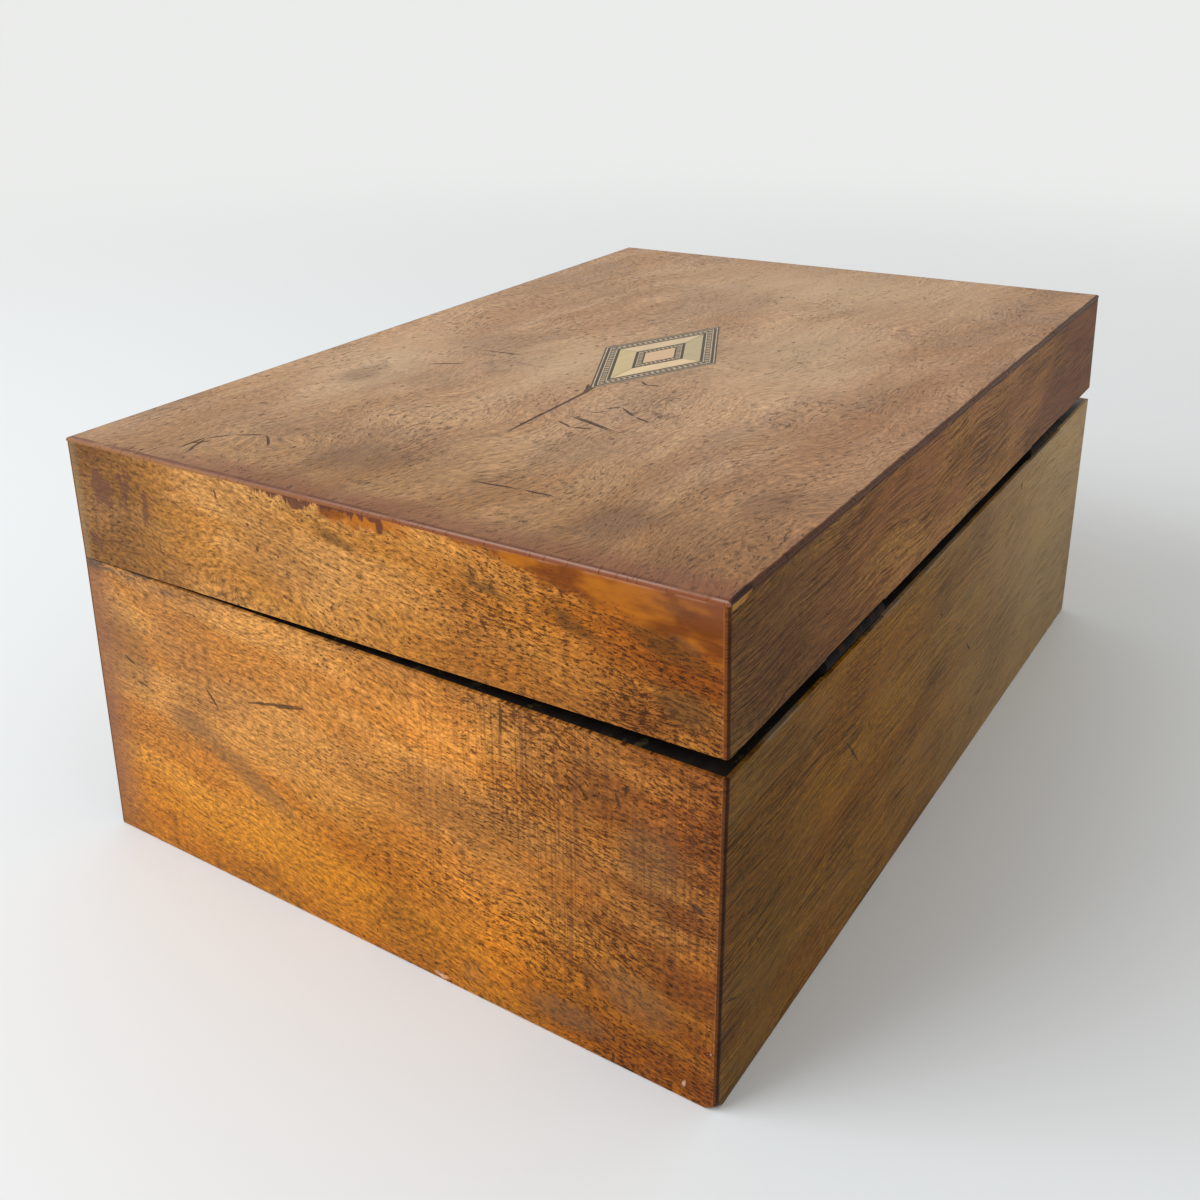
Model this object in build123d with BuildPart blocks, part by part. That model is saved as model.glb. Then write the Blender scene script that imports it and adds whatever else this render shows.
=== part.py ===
from build123d import *
import math
import os

# An antique sewing box: a pine carcass veneered in walnut, with a hinged lid that is inlaid with
# a banded lozenge, a lock in the front wall and a lift-out tray. Millimetres, +X along the length,
# +Y towards the hinges at the back, +Z up, with the origin at the centre of the underside.

os.makedirs("parts", exist_ok=True)

# Outside of the box
length = 290.0
depth = 200.0
base_height = 87.0
lid_height = 35.0
hinge_gap = 4.6
front_gap = 0.1

# Walls and skins
veneer = 1.0
board = 8.0
bottom_thickness = 6.0
lid_top_board = 8.0
rim_thickness = 1.5
glue_gap = 0.05
paper = 0.4
veneer_rounding = 0.8
skirt_rounding = 0.5

# Corners worn round by handling, those at the right end of the back most of all
bottom_wear_back_right = 5.0
bottom_wear = 2.0
top_wear_back_right = 3.0
top_wear = 1.6

# Lozenge inlaid in the lid
inlay_length = 81.0
inlay_width = 40.0
banding_width = 5.0
panel_width = 5.4
inner_band_width = 3.0

# Hinges
hinge_length = 36.0
right_hinge_margin = 48.5
left_hinge_margin = 40.0
hinge_inset = 1.8
leaf_thickness = 1.2
leaf_margin = 0.2
mortise_depth = 0.4
knuckle_radius = 2.0
knuckle_gap = 0.15
pin_radius = 1.0
pin_clearance = 0.03
mortise_clearance = 0.1
hinge_screw_pitch = 12.0
screws_per_leaf = 3

# Small countersunk screws
shank_radius = 0.8
head_radius = 1.5
head_height = 0.9
screw_length = 7.0
screw_slot_width = 0.4
screw_slot_depth = 0.4
screw_clearance = 0.02
pilot_depth = 8.0

# Lock, with a bolt that slides along the front through two staples of the lid's link plate
lock_case_length = 32.0
lock_case_depth = 5.5
lock_case_height = 23.0
selvedge_length = 44.0
selvedge_screw_inset = 2.6
bolt_travel = 3.5
bolt_height = 2.4
bolt_width = 2.0
bolt_side_clearance = 0.3
bolt_upright = 1.5
staple_spacing = 16.0
staple_thickness = 1.2
staple_width = 2.4
staple_drop = 5.0
staple_tip = 1.2
staple_hole_width = 1.4
staple_hole_height = 1.6
finger_width = 1.0
finger_height = 1.2
finger_tip_gap = 0.5
staple_clearance = 0.4
link_plate_length = 28.0
link_screw_inset = 2.5

# Keyhole and its lozenge escutcheon
keyhole_drop = 15.0
keyhole_radius = 1.8
keyhole_slot_width = 1.6
keyhole_slot_length = 5.0
key_pin_radius = 0.8
escutcheon_height = 22.0
escutcheon_width = 14.0

# Tray
tray_recess = 2.0
tray_height = 32.0
tray_bottom_thickness = 2.0
tray_wall = 3.0
tray_clearance = 0.6
ledge_thickness = 3.0
divider = 2.5
divider_drop = 5.0
centre_bay_length = 140.0
middle_bay_depth = 60.0

# Pocket lids with turned knobs
pocket_lid_thickness = 2.5
pocket_lid_clearance = 0.4
pocket_lid_rounding = 0.6
knob_radius = 3.2
knob_height = 6.0
knob_neck_radius = 1.5
knob_foot_radius = 2.6
knob_tenon_radius = 1.2
knob_clearance = 0.02

# Soft parts
cushion_clearance = 0.5
pincushion_crown = 10.0
cushion_corner = 4.0
crown_shares = (0, 0.7, 1)
crown_insets = (0, 4, 12)
pad_board_thickness = 1.5
pad_thickness = 10.0
pad_margin = 1.0
pad_corner = 8.0
pad_shares = (0, 0.3, 0.8, 1)
pad_insets = (0.5, 0, 5, 14)
tuft_radius = 5.0
tuft_depth = 2.5
tuft_columns = 5
tuft_rows = 3

# Sizes that follow
wall = veneer + board
inner_length = length - 2 * wall
inner_depth = depth - 2 * wall
carcass_length = length - 2 * veneer
carcass_depth = depth - 2 * veneer
board_top = base_height - rim_thickness
tilt = math.asin(hinge_gap / depth)
lid_board_top = lid_height - veneer - lid_top_board
hinge_axis_y = depth / 2 - hinge_inset
hinge_axis_z = base_height + (front_gap + (depth - hinge_inset) * math.tan(tilt)) / 2
hinge_centres = {
    "right": length / 2 - right_hinge_margin - hinge_length / 2,
    "left": left_hinge_margin + hinge_length / 2 - length / 2,
}
front_wall_y = -(depth / 2 - veneer - board / 2)
side_wall_x = length / 2 - veneer - board / 2
lining_length = inner_length - 2 * paper
lining_depth = inner_depth - 2 * paper
tray_length = lining_length - 2 * tray_clearance
tray_depth = lining_depth - 2 * tray_clearance
tray_seat = base_height - tray_recess - tray_height

# The lid lies on the front rim and is held up by the hinges at the back, so its rim is a tilted plane.
lid_rim_plane = Plane(
    origin=(
        0,
        depth / 2 * (math.cos(tilt) - 1),
        base_height + front_gap + depth / 2 * math.sin(tilt),
    ),
    x_dir=(1, 0, 0),
    z_dir=(0, -math.sin(tilt), math.cos(tilt)),
)
lid_upright = Axis(origin=lid_rim_plane.origin, direction=lid_rim_plane.z_dir)


def save(piece, name):
    """Label a finished piece and write it to its own file."""
    piece.part.label = name
    export_step(piece.part, f"parts/{name}.step")


def screw_places(centre_x, centre_y, pitch, count):
    """Places of a straight row of screws along the length of a plate."""
    first = centre_x - pitch * (count - 1) / 2
    return [(first + pitch * number, centre_y) for number in range(count)]


def drill(places, top, bottom):
    """Pilot holes between two heights of the current workplane."""
    with Locations(*[(x, y, top) for x, y in places]):
        Cylinder(
            shank_radius + screw_clearance,
            abs(top - bottom),
            align=(Align.CENTER, Align.CENTER, Align.MAX if bottom < top else Align.MIN),
            mode=Mode.SUBTRACT,
        )


def countersink(places, face, inward):
    """Countersunk seats in a plate whose outer face is at this height of the workplane."""
    wide = head_radius + screw_clearance
    narrow = shank_radius + screw_clearance
    with Locations(*[(x, y, face) for x, y in places]):
        Cone(
            bottom_radius=narrow if inward < 0 else wide,
            top_radius=wide if inward < 0 else narrow,
            height=head_height,
            align=(Align.CENTER, Align.CENTER, Align.MAX if inward < 0 else Align.MIN),
            mode=Mode.SUBTRACT,
        )


def make_screws(plane, places, face, inward):
    """Slotted countersunk screws that lie flush with a plate's face and run inward from it."""
    side = Align.MAX if inward < 0 else Align.MIN
    with BuildPart(plane) as screws:
        with Locations(*[(x, y, face) for x, y in places]):
            Cylinder(shank_radius, screw_length, align=(Align.CENTER, Align.CENTER, side))
            Cone(
                bottom_radius=shank_radius if inward < 0 else head_radius,
                top_radius=head_radius if inward < 0 else shank_radius,
                height=head_height,
                align=(Align.CENTER, Align.CENTER, side),
            )
            Box(
                2 * head_radius,
                screw_slot_width,
                screw_slot_depth,
                align=(Align.CENTER, Align.CENTER, side),
                mode=Mode.SUBTRACT,
            )
    return screws


# Places shared by the hinges, the lock and what they are let into
leaf_width = wall - hinge_inset - leaf_margin
leaf_centre_y = hinge_axis_y - leaf_width / 2
hinge_screw_y = hinge_axis_y - knuckle_radius - (leaf_width - knuckle_radius) / 2
hinge_screws = {
    side: screw_places(centre, hinge_screw_y, hinge_screw_pitch, screws_per_leaf)
    for side, centre in hinge_centres.items()
}
all_hinge_screws = hinge_screws["right"] + hinge_screws["left"]
selvedge_screws = screw_places(0, front_wall_y, selvedge_length - 2 * selvedge_screw_inset, 2)
link_screws = screw_places(0, front_wall_y, link_plate_length - 2 * link_screw_inset, 2)
lock_case_y = -(inner_depth / 2 + lock_case_depth / 2)
keyhole_z = board_top - keyhole_drop


def keyhole_sketch():
    """Outline of a keyhole: a round eye with a slot below it."""
    Circle(keyhole_radius)
    with Locations((0, -keyhole_slot_length / 2)):
        Rectangle(keyhole_slot_width, keyhole_slot_length)


def make_wear(plane, height, inward, usual, back_right):
    """What handling has worn off four corners, each a round of its radius seen from any face."""
    with BuildPart(plane) as wear:
        for along in (-1, 1):
            for across in (-1, 1):
                radius = back_right if along == across == 1 else usual
                with Locations((along * length / 2, across * depth / 2, height)):
                    Box(2 * radius, 2 * radius, 2 * radius)
                sphere_x = along * (length / 2 - radius)
                sphere_y = across * (depth / 2 - radius)
                with Locations((sphere_x, sphere_y, height + inward * radius)):
                    Sphere(radius * math.sqrt(2), mode=Mode.SUBTRACT)
    return wear


bottom_corners = make_wear(Plane.XY, 0, 1, bottom_wear, bottom_wear_back_right)
top_corners = make_wear(lid_rim_plane, lid_height, -1, top_wear, top_wear_back_right)

# Carcass boards of the base: front and back run full length, with the sides between them
with BuildPart() as base_front_board:
    with Locations((0, front_wall_y, 0)):
        Box(carcass_length, board, board_top, align=(Align.CENTER, Align.CENTER, Align.MIN))
    with Locations((0, lock_case_y, board_top)):
        Box(
            lock_case_length,
            lock_case_depth,
            lock_case_height,
            align=(Align.CENTER, Align.CENTER, Align.MAX),
            mode=Mode.SUBTRACT,
        )
    drill(selvedge_screws, board_top, base_height - pilot_depth)
    with BuildSketch(Plane.XZ.offset(depth / 2)):
        with Locations((0, keyhole_z)):
            keyhole_sketch()
    extrude(amount=-wall, mode=Mode.SUBTRACT)
    add(bottom_corners.part, mode=Mode.SUBTRACT)
save(base_front_board, "base_front_board")

with BuildPart() as base_back_board:
    with Locations((0, -front_wall_y, 0)):
        Box(carcass_length, board, board_top, align=(Align.CENTER, Align.CENTER, Align.MIN))
    drill(all_hinge_screws, board_top, base_height - pilot_depth)
    add(bottom_corners.part, mode=Mode.SUBTRACT)
save(base_back_board, "base_back_board")

for side, sign in {"left": -1, "right": 1}.items():
    with BuildPart() as base_side_board:
        with Locations((sign * side_wall_x, 0, 0)):
            Box(board, inner_depth, board_top, align=(Align.CENTER, Align.CENTER, Align.MIN))
    save(base_side_board, f"base_{side}_board")

with BuildPart() as base_bottom_board:
    Box(
        inner_length,
        inner_depth,
        bottom_thickness,
        align=(Align.CENTER, Align.CENTER, Align.MIN),
    )
save(base_bottom_board, "base_bottom_board")

# Walnut veneers of the base: the front and back ones cover the ends of the side ones
with BuildPart() as base_front_veneer:
    with Locations((0, -depth / 2, 0)):
        Box(length, veneer, base_height, align=(Align.CENTER, Align.MIN, Align.MIN))
    outer_corners = base_front_veneer.edges().filter_by(Axis.Z).group_by(Axis.Y)[0]
    fillet(outer_corners, veneer_rounding)
    lower_edge = base_front_veneer.faces().sort_by(Axis.Z)[0].edges().sort_by(Axis.Y)[0]
    fillet(lower_edge, skirt_rounding)
    with BuildSketch(Plane.XZ.offset(depth / 2)):
        with Locations((0, keyhole_z)):
            escutcheon_corners = [
                (-escutcheon_width / 2, 0),
                (0, -escutcheon_height / 2),
                (escutcheon_width / 2, 0),
                (0, escutcheon_height / 2),
            ]
            Polygon(*escutcheon_corners, align=None)
    extrude(amount=-veneer, mode=Mode.SUBTRACT)
    add(bottom_corners.part, mode=Mode.SUBTRACT)
save(base_front_veneer, "base_front_veneer")

mortise_length = hinge_length + 2 * mortise_clearance
with BuildPart() as base_back_veneer:
    with Locations((0, depth / 2, 0)):
        Box(length, veneer, base_height, align=(Align.CENTER, Align.MAX, Align.MIN))
    outer_corners = base_back_veneer.edges().filter_by(Axis.Z).group_by(Axis.Y)[-1]
    fillet(outer_corners, veneer_rounding)
    lower_edge = base_back_veneer.faces().sort_by(Axis.Z)[0].edges().sort_by(Axis.Y)[-1]
    fillet(lower_edge, skirt_rounding)
    with Locations(*[(x, depth / 2, base_height) for x in hinge_centres.values()]):
        Box(
            mortise_length,
            2 * veneer,
            mortise_depth,
            align=(Align.CENTER, Align.CENTER, Align.MAX),
            mode=Mode.SUBTRACT,
        )
    add(bottom_corners.part, mode=Mode.SUBTRACT)
save(base_back_veneer, "base_back_veneer")

for side, sign in {"left": -1, "right": 1}.items():
    with BuildPart() as base_side_veneer:
        with Locations((sign * (length - veneer) / 2, 0, 0)):
            Box(
                veneer,
                carcass_depth,
                base_height,
                align=(Align.CENTER, Align.CENTER, Align.MIN),
            )
        ends = base_side_veneer.faces().sort_by(Axis.Z)[0].edges().sort_by(Axis.X)
        fillet(ends[-1] if sign > 0 else ends[0], skirt_rounding)
        add(bottom_corners.part, mode=Mode.SUBTRACT)
    save(base_side_veneer, f"base_{side}_veneer")


def make_rim(plane, low, face, front_cut):
    """Ebonised strips that cap the boards, let in at their face for a front plate and hinges."""
    rim_middle = low + rim_thickness / 2
    side_strip = inner_depth - 2 * glue_gap
    with BuildPart(plane) as rim:
        with Locations((0, front_wall_y, rim_middle), (0, -front_wall_y, rim_middle)):
            Box(carcass_length, board, rim_thickness)
        with Locations((-side_wall_x, 0, rim_middle), (side_wall_x, 0, rim_middle)):
            Box(board, side_strip, rim_thickness)
        with Locations((0, front_wall_y, rim_middle)):
            Box(front_cut, board, rim_thickness, mode=Mode.SUBTRACT)
        with Locations(*[(x, -front_wall_y, face) for x in hinge_centres.values()]):
            Box(mortise_length, board, 2 * mortise_depth, mode=Mode.SUBTRACT)
        drill(all_hinge_screws, low + rim_thickness, low)
    return rim


base_rim = make_rim(Plane.XY, board_top, base_height, selvedge_length)
save(base_rim, "base_rim")

# Paper linings and the ledges that carry the tray
with BuildPart() as base_floor_paper:
    with Locations((0, 0, bottom_thickness)):
        Box(inner_length, inner_depth, paper, align=(Align.CENTER, Align.CENTER, Align.MIN))
save(base_floor_paper, "base_floor_paper")

floor_top = bottom_thickness + paper
with BuildPart() as base_wall_paper:
    with BuildSketch(Plane.XY.offset(floor_top)):
        Rectangle(inner_length, inner_depth)
        Rectangle(lining_length, lining_depth, mode=Mode.SUBTRACT)
    extrude(amount=board_top - floor_top)
    with Locations((0, lock_case_y, board_top)):
        Box(
            lock_case_length,
            lock_case_depth + 4 * paper,
            lock_case_height,
            align=(Align.CENTER, Align.CENTER, Align.MAX),
            mode=Mode.SUBTRACT,
        )
save(base_wall_paper, "base_wall_paper")

ledge_height = tray_seat - floor_top
for side, sign in {"front": -1, "back": 1}.items():
    with BuildPart() as long_ledge:
        with Locations((0, sign * (lining_depth - ledge_thickness) / 2, floor_top)):
            Box(
                lining_length,
                ledge_thickness,
                ledge_height,
                align=(Align.CENTER, Align.CENTER, Align.MIN),
            )
    save(long_ledge, f"tray_ledge_{side}")

for side, sign in {"left": -1, "right": 1}.items():
    with BuildPart() as short_ledge:
        with Locations((sign * (lining_length - ledge_thickness) / 2, 0, floor_top)):
            Box(
                ledge_thickness,
                lining_depth - 2 * ledge_thickness,
                ledge_height,
                align=(Align.CENTER, Align.CENTER, Align.MIN),
            )
    save(short_ledge, f"tray_ledge_{side}")

# Lock: the bolt's fingers rise beside the staples and slide through them
staple_x = (-staple_spacing / 2, staple_spacing / 2)
staple_hole_drop = staple_drop - staple_tip - staple_hole_height / 2
rim_rise = (depth / 2 + lock_case_y) * math.tan(tilt)
hole_centre_z = base_height + front_gap + rim_rise - staple_hole_drop
bolt_floor = hole_centre_z - staple_hole_height / 2 - staple_tip - staple_clearance - bolt_height
upright_reach = staple_thickness / 2 + finger_tip_gap + bolt_travel
bolt_start = staple_x[0] - upright_reach - bolt_upright
bolt_end = staple_x[1] - upright_reach
chamber_start = bolt_start - bolt_side_clearance
chamber_end = staple_x[1] + staple_thickness / 2 + bolt_travel + bolt_side_clearance
chamber_width = staple_width + 2 * staple_clearance
case_floor = board_top - lock_case_height

with BuildPart() as lock_case:
    with Locations((0, lock_case_y, case_floor)):
        Box(
            lock_case_length,
            lock_case_depth,
            lock_case_height,
            align=(Align.CENTER, Align.CENTER, Align.MIN),
        )
    with Locations(((chamber_start + chamber_end) / 2, lock_case_y, bolt_floor)):
        Box(
            chamber_end - chamber_start,
            chamber_width,
            board_top - bolt_floor,
            align=(Align.CENTER, Align.CENTER, Align.MIN),
            mode=Mode.SUBTRACT,
        )
    with BuildSketch(Plane.XZ.offset(-(lock_case_y - lock_case_depth / 2))):
        with Locations((0, keyhole_z)):
            keyhole_sketch()
            Circle(key_pin_radius, mode=Mode.SUBTRACT)
    extrude(amount=-(lock_case_depth - veneer), mode=Mode.SUBTRACT)
save(lock_case, "lock_case")

with BuildPart() as lock_selvedge:
    with Locations((0, front_wall_y, board_top)):
        Box(
            selvedge_length,
            board,
            rim_thickness,
            align=(Align.CENTER, Align.CENTER, Align.MIN),
        )
    with Locations(*[(x, lock_case_y, board_top) for x in staple_x]):
        Box(
            staple_thickness + 2 * staple_clearance,
            chamber_width,
            rim_thickness,
            align=(Align.CENTER, Align.CENTER, Align.MIN),
            mode=Mode.SUBTRACT,
        )
    drill(selvedge_screws, base_height, board_top)
    countersink(selvedge_screws, base_height, -1)
save(lock_selvedge, "lock_selvedge")

lock_screws = make_screws(Plane.XY, selvedge_screws, base_height, -1)
save(lock_screws, "lock_screws")

with BuildPart() as lock_bolt:
    with Locations(((bolt_start + bolt_end) / 2, lock_case_y, bolt_floor)):
        Box(
            bolt_end - bolt_start,
            bolt_width,
            bolt_height,
            align=(Align.CENTER, Align.CENTER, Align.MIN),
        )
    finger_top = hole_centre_z + finger_height / 2
    with Locations(*[(x - upright_reach, lock_case_y, bolt_floor) for x in staple_x]):
        Box(
            bolt_upright,
            finger_width,
            finger_top - bolt_floor,
            align=(Align.MAX, Align.CENTER, Align.MIN),
        )
    with Locations(*[(x - upright_reach, lock_case_y, hole_centre_z) for x in staple_x]):
        Box(
            bolt_travel,
            finger_width,
            finger_height,
            align=(Align.MIN, Align.CENTER, Align.CENTER),
        )
save(lock_bolt, "lock_bolt")

with BuildPart() as keyhole_escutcheon:
    with BuildSketch(Plane.XZ.offset(depth / 2)):
        with Locations((0, keyhole_z)):
            Polygon(*escutcheon_corners, align=None)
            Circle(keyhole_radius, mode=Mode.SUBTRACT)
        with Locations((0, keyhole_z - keyhole_slot_length / 2)):
            Rectangle(keyhole_slot_width, keyhole_slot_length, mode=Mode.SUBTRACT)
    extrude(amount=-veneer)
save(keyhole_escutcheon, "keyhole_escutcheon")

# Hinges: the lower leaf holds the two outer knuckles and the pin, the upper leaf the middle one
knuckle_length = (hinge_length - 2 * knuckle_gap) / 3
knuckle_offset = knuckle_length + knuckle_gap


def knuckle_section(radius):
    """Circle about the hinge pin, on a plane square to it."""
    with Locations((hinge_axis_y, hinge_axis_z)):
        Circle(radius)


for side, centre in hinge_centres.items():
    outer_starts = [
        centre - knuckle_length / 2 - knuckle_offset,
        centre - knuckle_length / 2 + knuckle_offset,
    ]
    middle_start = centre - knuckle_length / 2

    with BuildPart() as lower_leaf:
        with Locations((centre, leaf_centre_y, base_height - mortise_depth)):
            Box(
                hinge_length,
                leaf_width,
                leaf_thickness,
                align=(Align.CENTER, Align.CENTER, Align.MIN),
            )
        with BuildSketch(Plane.YZ.offset(middle_start - knuckle_gap)):
            knuckle_section(knuckle_radius + knuckle_gap)
        extrude(amount=knuckle_length + 2 * knuckle_gap, mode=Mode.SUBTRACT)
        with BuildSketch(*[Plane.YZ.offset(start) for start in outer_starts]):
            knuckle_section(knuckle_radius)
        extrude(amount=knuckle_length)
        with BuildSketch(Plane.YZ.offset(centre - hinge_length / 2)):
            knuckle_section(pin_radius + pin_clearance)
        extrude(amount=hinge_length, mode=Mode.SUBTRACT)
        leaf_top = base_height - mortise_depth + leaf_thickness
        drill(hinge_screws[side], leaf_top, leaf_top - leaf_thickness)
        countersink(hinge_screws[side], leaf_top, -1)
    save(lower_leaf, f"{side}_hinge_lower_leaf")

    with BuildPart() as upper_leaf:
        with BuildSketch(lid_rim_plane.offset(mortise_depth)):
            with Locations((centre, leaf_centre_y)):
                Rectangle(hinge_length, leaf_width)
        extrude(amount=-leaf_thickness)
        with BuildSketch(*[Plane.YZ.offset(start - knuckle_gap) for start in outer_starts]):
            knuckle_section(knuckle_radius + knuckle_gap)
        extrude(amount=knuckle_length + 2 * knuckle_gap, mode=Mode.SUBTRACT)
        with BuildSketch(Plane.YZ.offset(middle_start)):
            knuckle_section(knuckle_radius)
        extrude(amount=knuckle_length)
        with BuildSketch(Plane.YZ.offset(centre - hinge_length / 2)):
            knuckle_section(pin_radius + pin_clearance)
        extrude(amount=hinge_length, mode=Mode.SUBTRACT)
        with BuildSketch(lid_rim_plane.offset(mortise_depth - leaf_thickness)):
            with Locations(*hinge_screws[side]):
                Circle(shank_radius + screw_clearance)
        extrude(amount=leaf_thickness, mode=Mode.SUBTRACT)
        with BuildSketch(lid_rim_plane.offset(mortise_depth - leaf_thickness)):
            with Locations(*hinge_screws[side]):
                Circle(head_radius + screw_clearance)
        seat_taper = math.degrees(math.atan((head_radius - shank_radius) / head_height))
        extrude(amount=head_height, taper=seat_taper, mode=Mode.SUBTRACT)
    save(upper_leaf, f"{side}_hinge_upper_leaf")

with BuildPart() as hinge_pins:
    with BuildSketch(*[Plane.YZ.offset(x - hinge_length / 2) for x in hinge_centres.values()]):
        knuckle_section(pin_radius)
    extrude(amount=hinge_length)
save(hinge_pins, "hinge_pins")

lower_hinge_screws = make_screws(
    Plane.XY, all_hinge_screws, base_height - mortise_depth + leaf_thickness, -1
)
save(lower_hinge_screws, "lower_hinge_screws")

upper_hinge_screws = make_screws(
    lid_rim_plane, all_hinge_screws, mortise_depth - leaf_thickness, 1
)
save(upper_hinge_screws, "upper_hinge_screws")

# Carcass boards of the lid, under a top board that covers them
lid_wall = lid_board_top - rim_thickness
with BuildPart(lid_rim_plane) as lid_front_board:
    with Locations((0, front_wall_y, rim_thickness)):
        Box(carcass_length, board, lid_wall, align=(Align.CENTER, Align.CENTER, Align.MIN))
    drill(link_screws, rim_thickness, pilot_depth)
save(lid_front_board, "lid_front_board")

with BuildPart(lid_rim_plane) as lid_back_board:
    with Locations((0, -front_wall_y, rim_thickness)):
        Box(carcass_length, board, lid_wall, align=(Align.CENTER, Align.CENTER, Align.MIN))
    drill(all_hinge_screws, rim_thickness, pilot_depth)
save(lid_back_board, "lid_back_board")

for side, sign in {"left": -1, "right": 1}.items():
    with BuildPart(lid_rim_plane) as lid_side_board:
        with Locations((sign * side_wall_x, 0, rim_thickness)):
            Box(board, inner_depth, lid_wall, align=(Align.CENTER, Align.CENTER, Align.MIN))
    save(lid_side_board, f"lid_{side}_board")

with BuildPart(lid_rim_plane) as lid_top:
    with Locations((0, 0, lid_board_top)):
        Box(
            carcass_length,
            carcass_depth,
            lid_top_board,
            align=(Align.CENTER, Align.CENTER, Align.MIN),
        )
save(lid_top, "lid_top_board")

# Walnut veneers of the lid
side_veneer_height = lid_height - veneer
lid_veneers = {
    "front": (0, -(depth - veneer) / 2, length, veneer),
    "back": (0, (depth - veneer) / 2, length, veneer),
    "left": (-(length - veneer) / 2, 0, veneer, carcass_depth),
    "right": ((length - veneer) / 2, 0, veneer, carcass_depth),
}
for side, (x, y, along, across) in lid_veneers.items():
    with BuildPart(lid_rim_plane) as lid_side_veneer:
        with Locations((x, y, 0)):
            Box(
                along,
                across,
                side_veneer_height,
                align=(Align.CENTER, Align.CENTER, Align.MIN),
            )
        if side in ("front", "back"):
            upright_edges = lid_side_veneer.edges().filter_by(lid_upright).sort_by(Axis.Y)
            fillet(upright_edges[:2] if side == "front" else upright_edges[-2:], veneer_rounding)
        if side == "back":
            with Locations(*[(place, depth / 2, 0) for place in hinge_centres.values()]):
                Box(
                    mortise_length,
                    2 * veneer,
                    mortise_depth,
                    align=(Align.CENTER, Align.CENTER, Align.MIN),
                    mode=Mode.SUBTRACT,
                )
        add(top_corners.part, mode=Mode.SUBTRACT)
    save(lid_side_veneer, f"lid_{side}_veneer")


def lozenge(inset):
    """The inlay's lozenge, drawn in all round by this much."""
    edge_distance = inlay_length * inlay_width / 2 / math.hypot(inlay_length, inlay_width)
    share = 1 - inset / edge_distance
    half_length = inlay_length / 2 * share
    half_width = inlay_width / 2 * share
    return [(-half_length, 0), (0, -half_width), (half_length, 0), (0, half_width)]


panel_inset = banding_width
inner_band_inset = panel_inset + panel_width
centre_inset = inner_band_inset + inner_band_width
veneer_plane = lid_rim_plane.offset(lid_height - veneer)

with BuildPart(lid_rim_plane) as lid_top_veneer:
    with Locations((0, 0, lid_height - veneer)):
        Box(length, depth, veneer, align=(Align.CENTER, Align.CENTER, Align.MIN))
    upper_face = lid_top_veneer.faces().sort_by(lid_upright)[-1]
    fillet(upper_face.edges(), veneer_rounding)
    with BuildSketch(veneer_plane):
        Polygon(*lozenge(0), align=None)
    extrude(amount=veneer, mode=Mode.SUBTRACT)
    add(top_corners.part, mode=Mode.SUBTRACT)
save(lid_top_veneer, "lid_top_veneer")

with BuildPart() as inlay_banding:
    with BuildSketch(veneer_plane):
        Polygon(*lozenge(0), align=None)
        Polygon(*lozenge(panel_inset), align=None, mode=Mode.SUBTRACT)
    extrude(amount=veneer)
save(inlay_banding, "inlay_banding")

panel_outer = lozenge(panel_inset)
panel_inner = lozenge(inner_band_inset)
with BuildPart(lid_rim_plane) as inlay_panels:
    for corner in range(4):
        following = (corner + 1) % 4
        with BuildSketch(veneer_plane):
            Polygon(
                panel_outer[corner],
                panel_outer[following],
                panel_inner[following],
                panel_inner[corner],
                align=None,
            )
        extrude(amount=veneer)
    with Locations((0, 0, lid_height - veneer / 2)):
        Box(inlay_length, glue_gap, veneer, mode=Mode.SUBTRACT)
        Box(glue_gap, inlay_width, veneer, mode=Mode.SUBTRACT)
save(inlay_panels, "inlay_panels")

with BuildPart() as inlay_inner_band:
    with BuildSketch(veneer_plane):
        Polygon(*lozenge(inner_band_inset), align=None)
        Polygon(*lozenge(centre_inset), align=None, mode=Mode.SUBTRACT)
    extrude(amount=veneer)
save(inlay_inner_band, "inlay_inner_band")

with BuildPart() as inlay_centre:
    with BuildSketch(veneer_plane):
        Polygon(*lozenge(centre_inset), align=None)
    extrude(amount=veneer)
save(inlay_centre, "inlay_centre")

# Rim of the lid, and the link plate whose staples drop into the lock
lid_rim = make_rim(lid_rim_plane, 0, 0, link_plate_length)
save(lid_rim, "lid_rim")

with BuildPart(lid_rim_plane) as link_plate:
    with Locations((0, front_wall_y, rim_thickness / 2)):
        Box(link_plate_length, board, rim_thickness)
    with Locations(*[(x, lock_case_y, -staple_drop / 2) for x in staple_x]):
        Box(staple_thickness, staple_width, staple_drop)
    with Locations(*[(x, lock_case_y, -staple_hole_drop) for x in staple_x]):
        Box(staple_thickness, staple_hole_width, staple_hole_height, mode=Mode.SUBTRACT)
    drill(link_screws, 0, rim_thickness)
    countersink(link_screws, 0, 1)
save(link_plate, "link_plate")

link_plate_screws = make_screws(lid_rim_plane, link_screws, 0, 1)
save(link_plate_screws, "link_plate_screws")

# Lining of the lid: paper on its walls, and a tufted silk pad on a stiff board under its top
with BuildPart(lid_rim_plane) as lid_wall_paper:
    with Locations((0, 0, (rim_thickness + lid_board_top) / 2)):
        Box(inner_length, inner_depth, lid_wall)
        Box(lining_length, lining_depth, lid_wall, mode=Mode.SUBTRACT)
save(lid_wall_paper, "lid_wall_paper")

pad_length = lining_length - 2 * pad_margin
pad_depth = lining_depth - 2 * pad_margin
pad_seat = lid_board_top - pad_board_thickness
with BuildPart(lid_rim_plane) as lid_pad_board:
    with Locations((0, 0, pad_seat + pad_board_thickness / 2)):
        Box(pad_length, pad_depth, pad_board_thickness)
save(lid_pad_board, "lid_pad_board")


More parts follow.
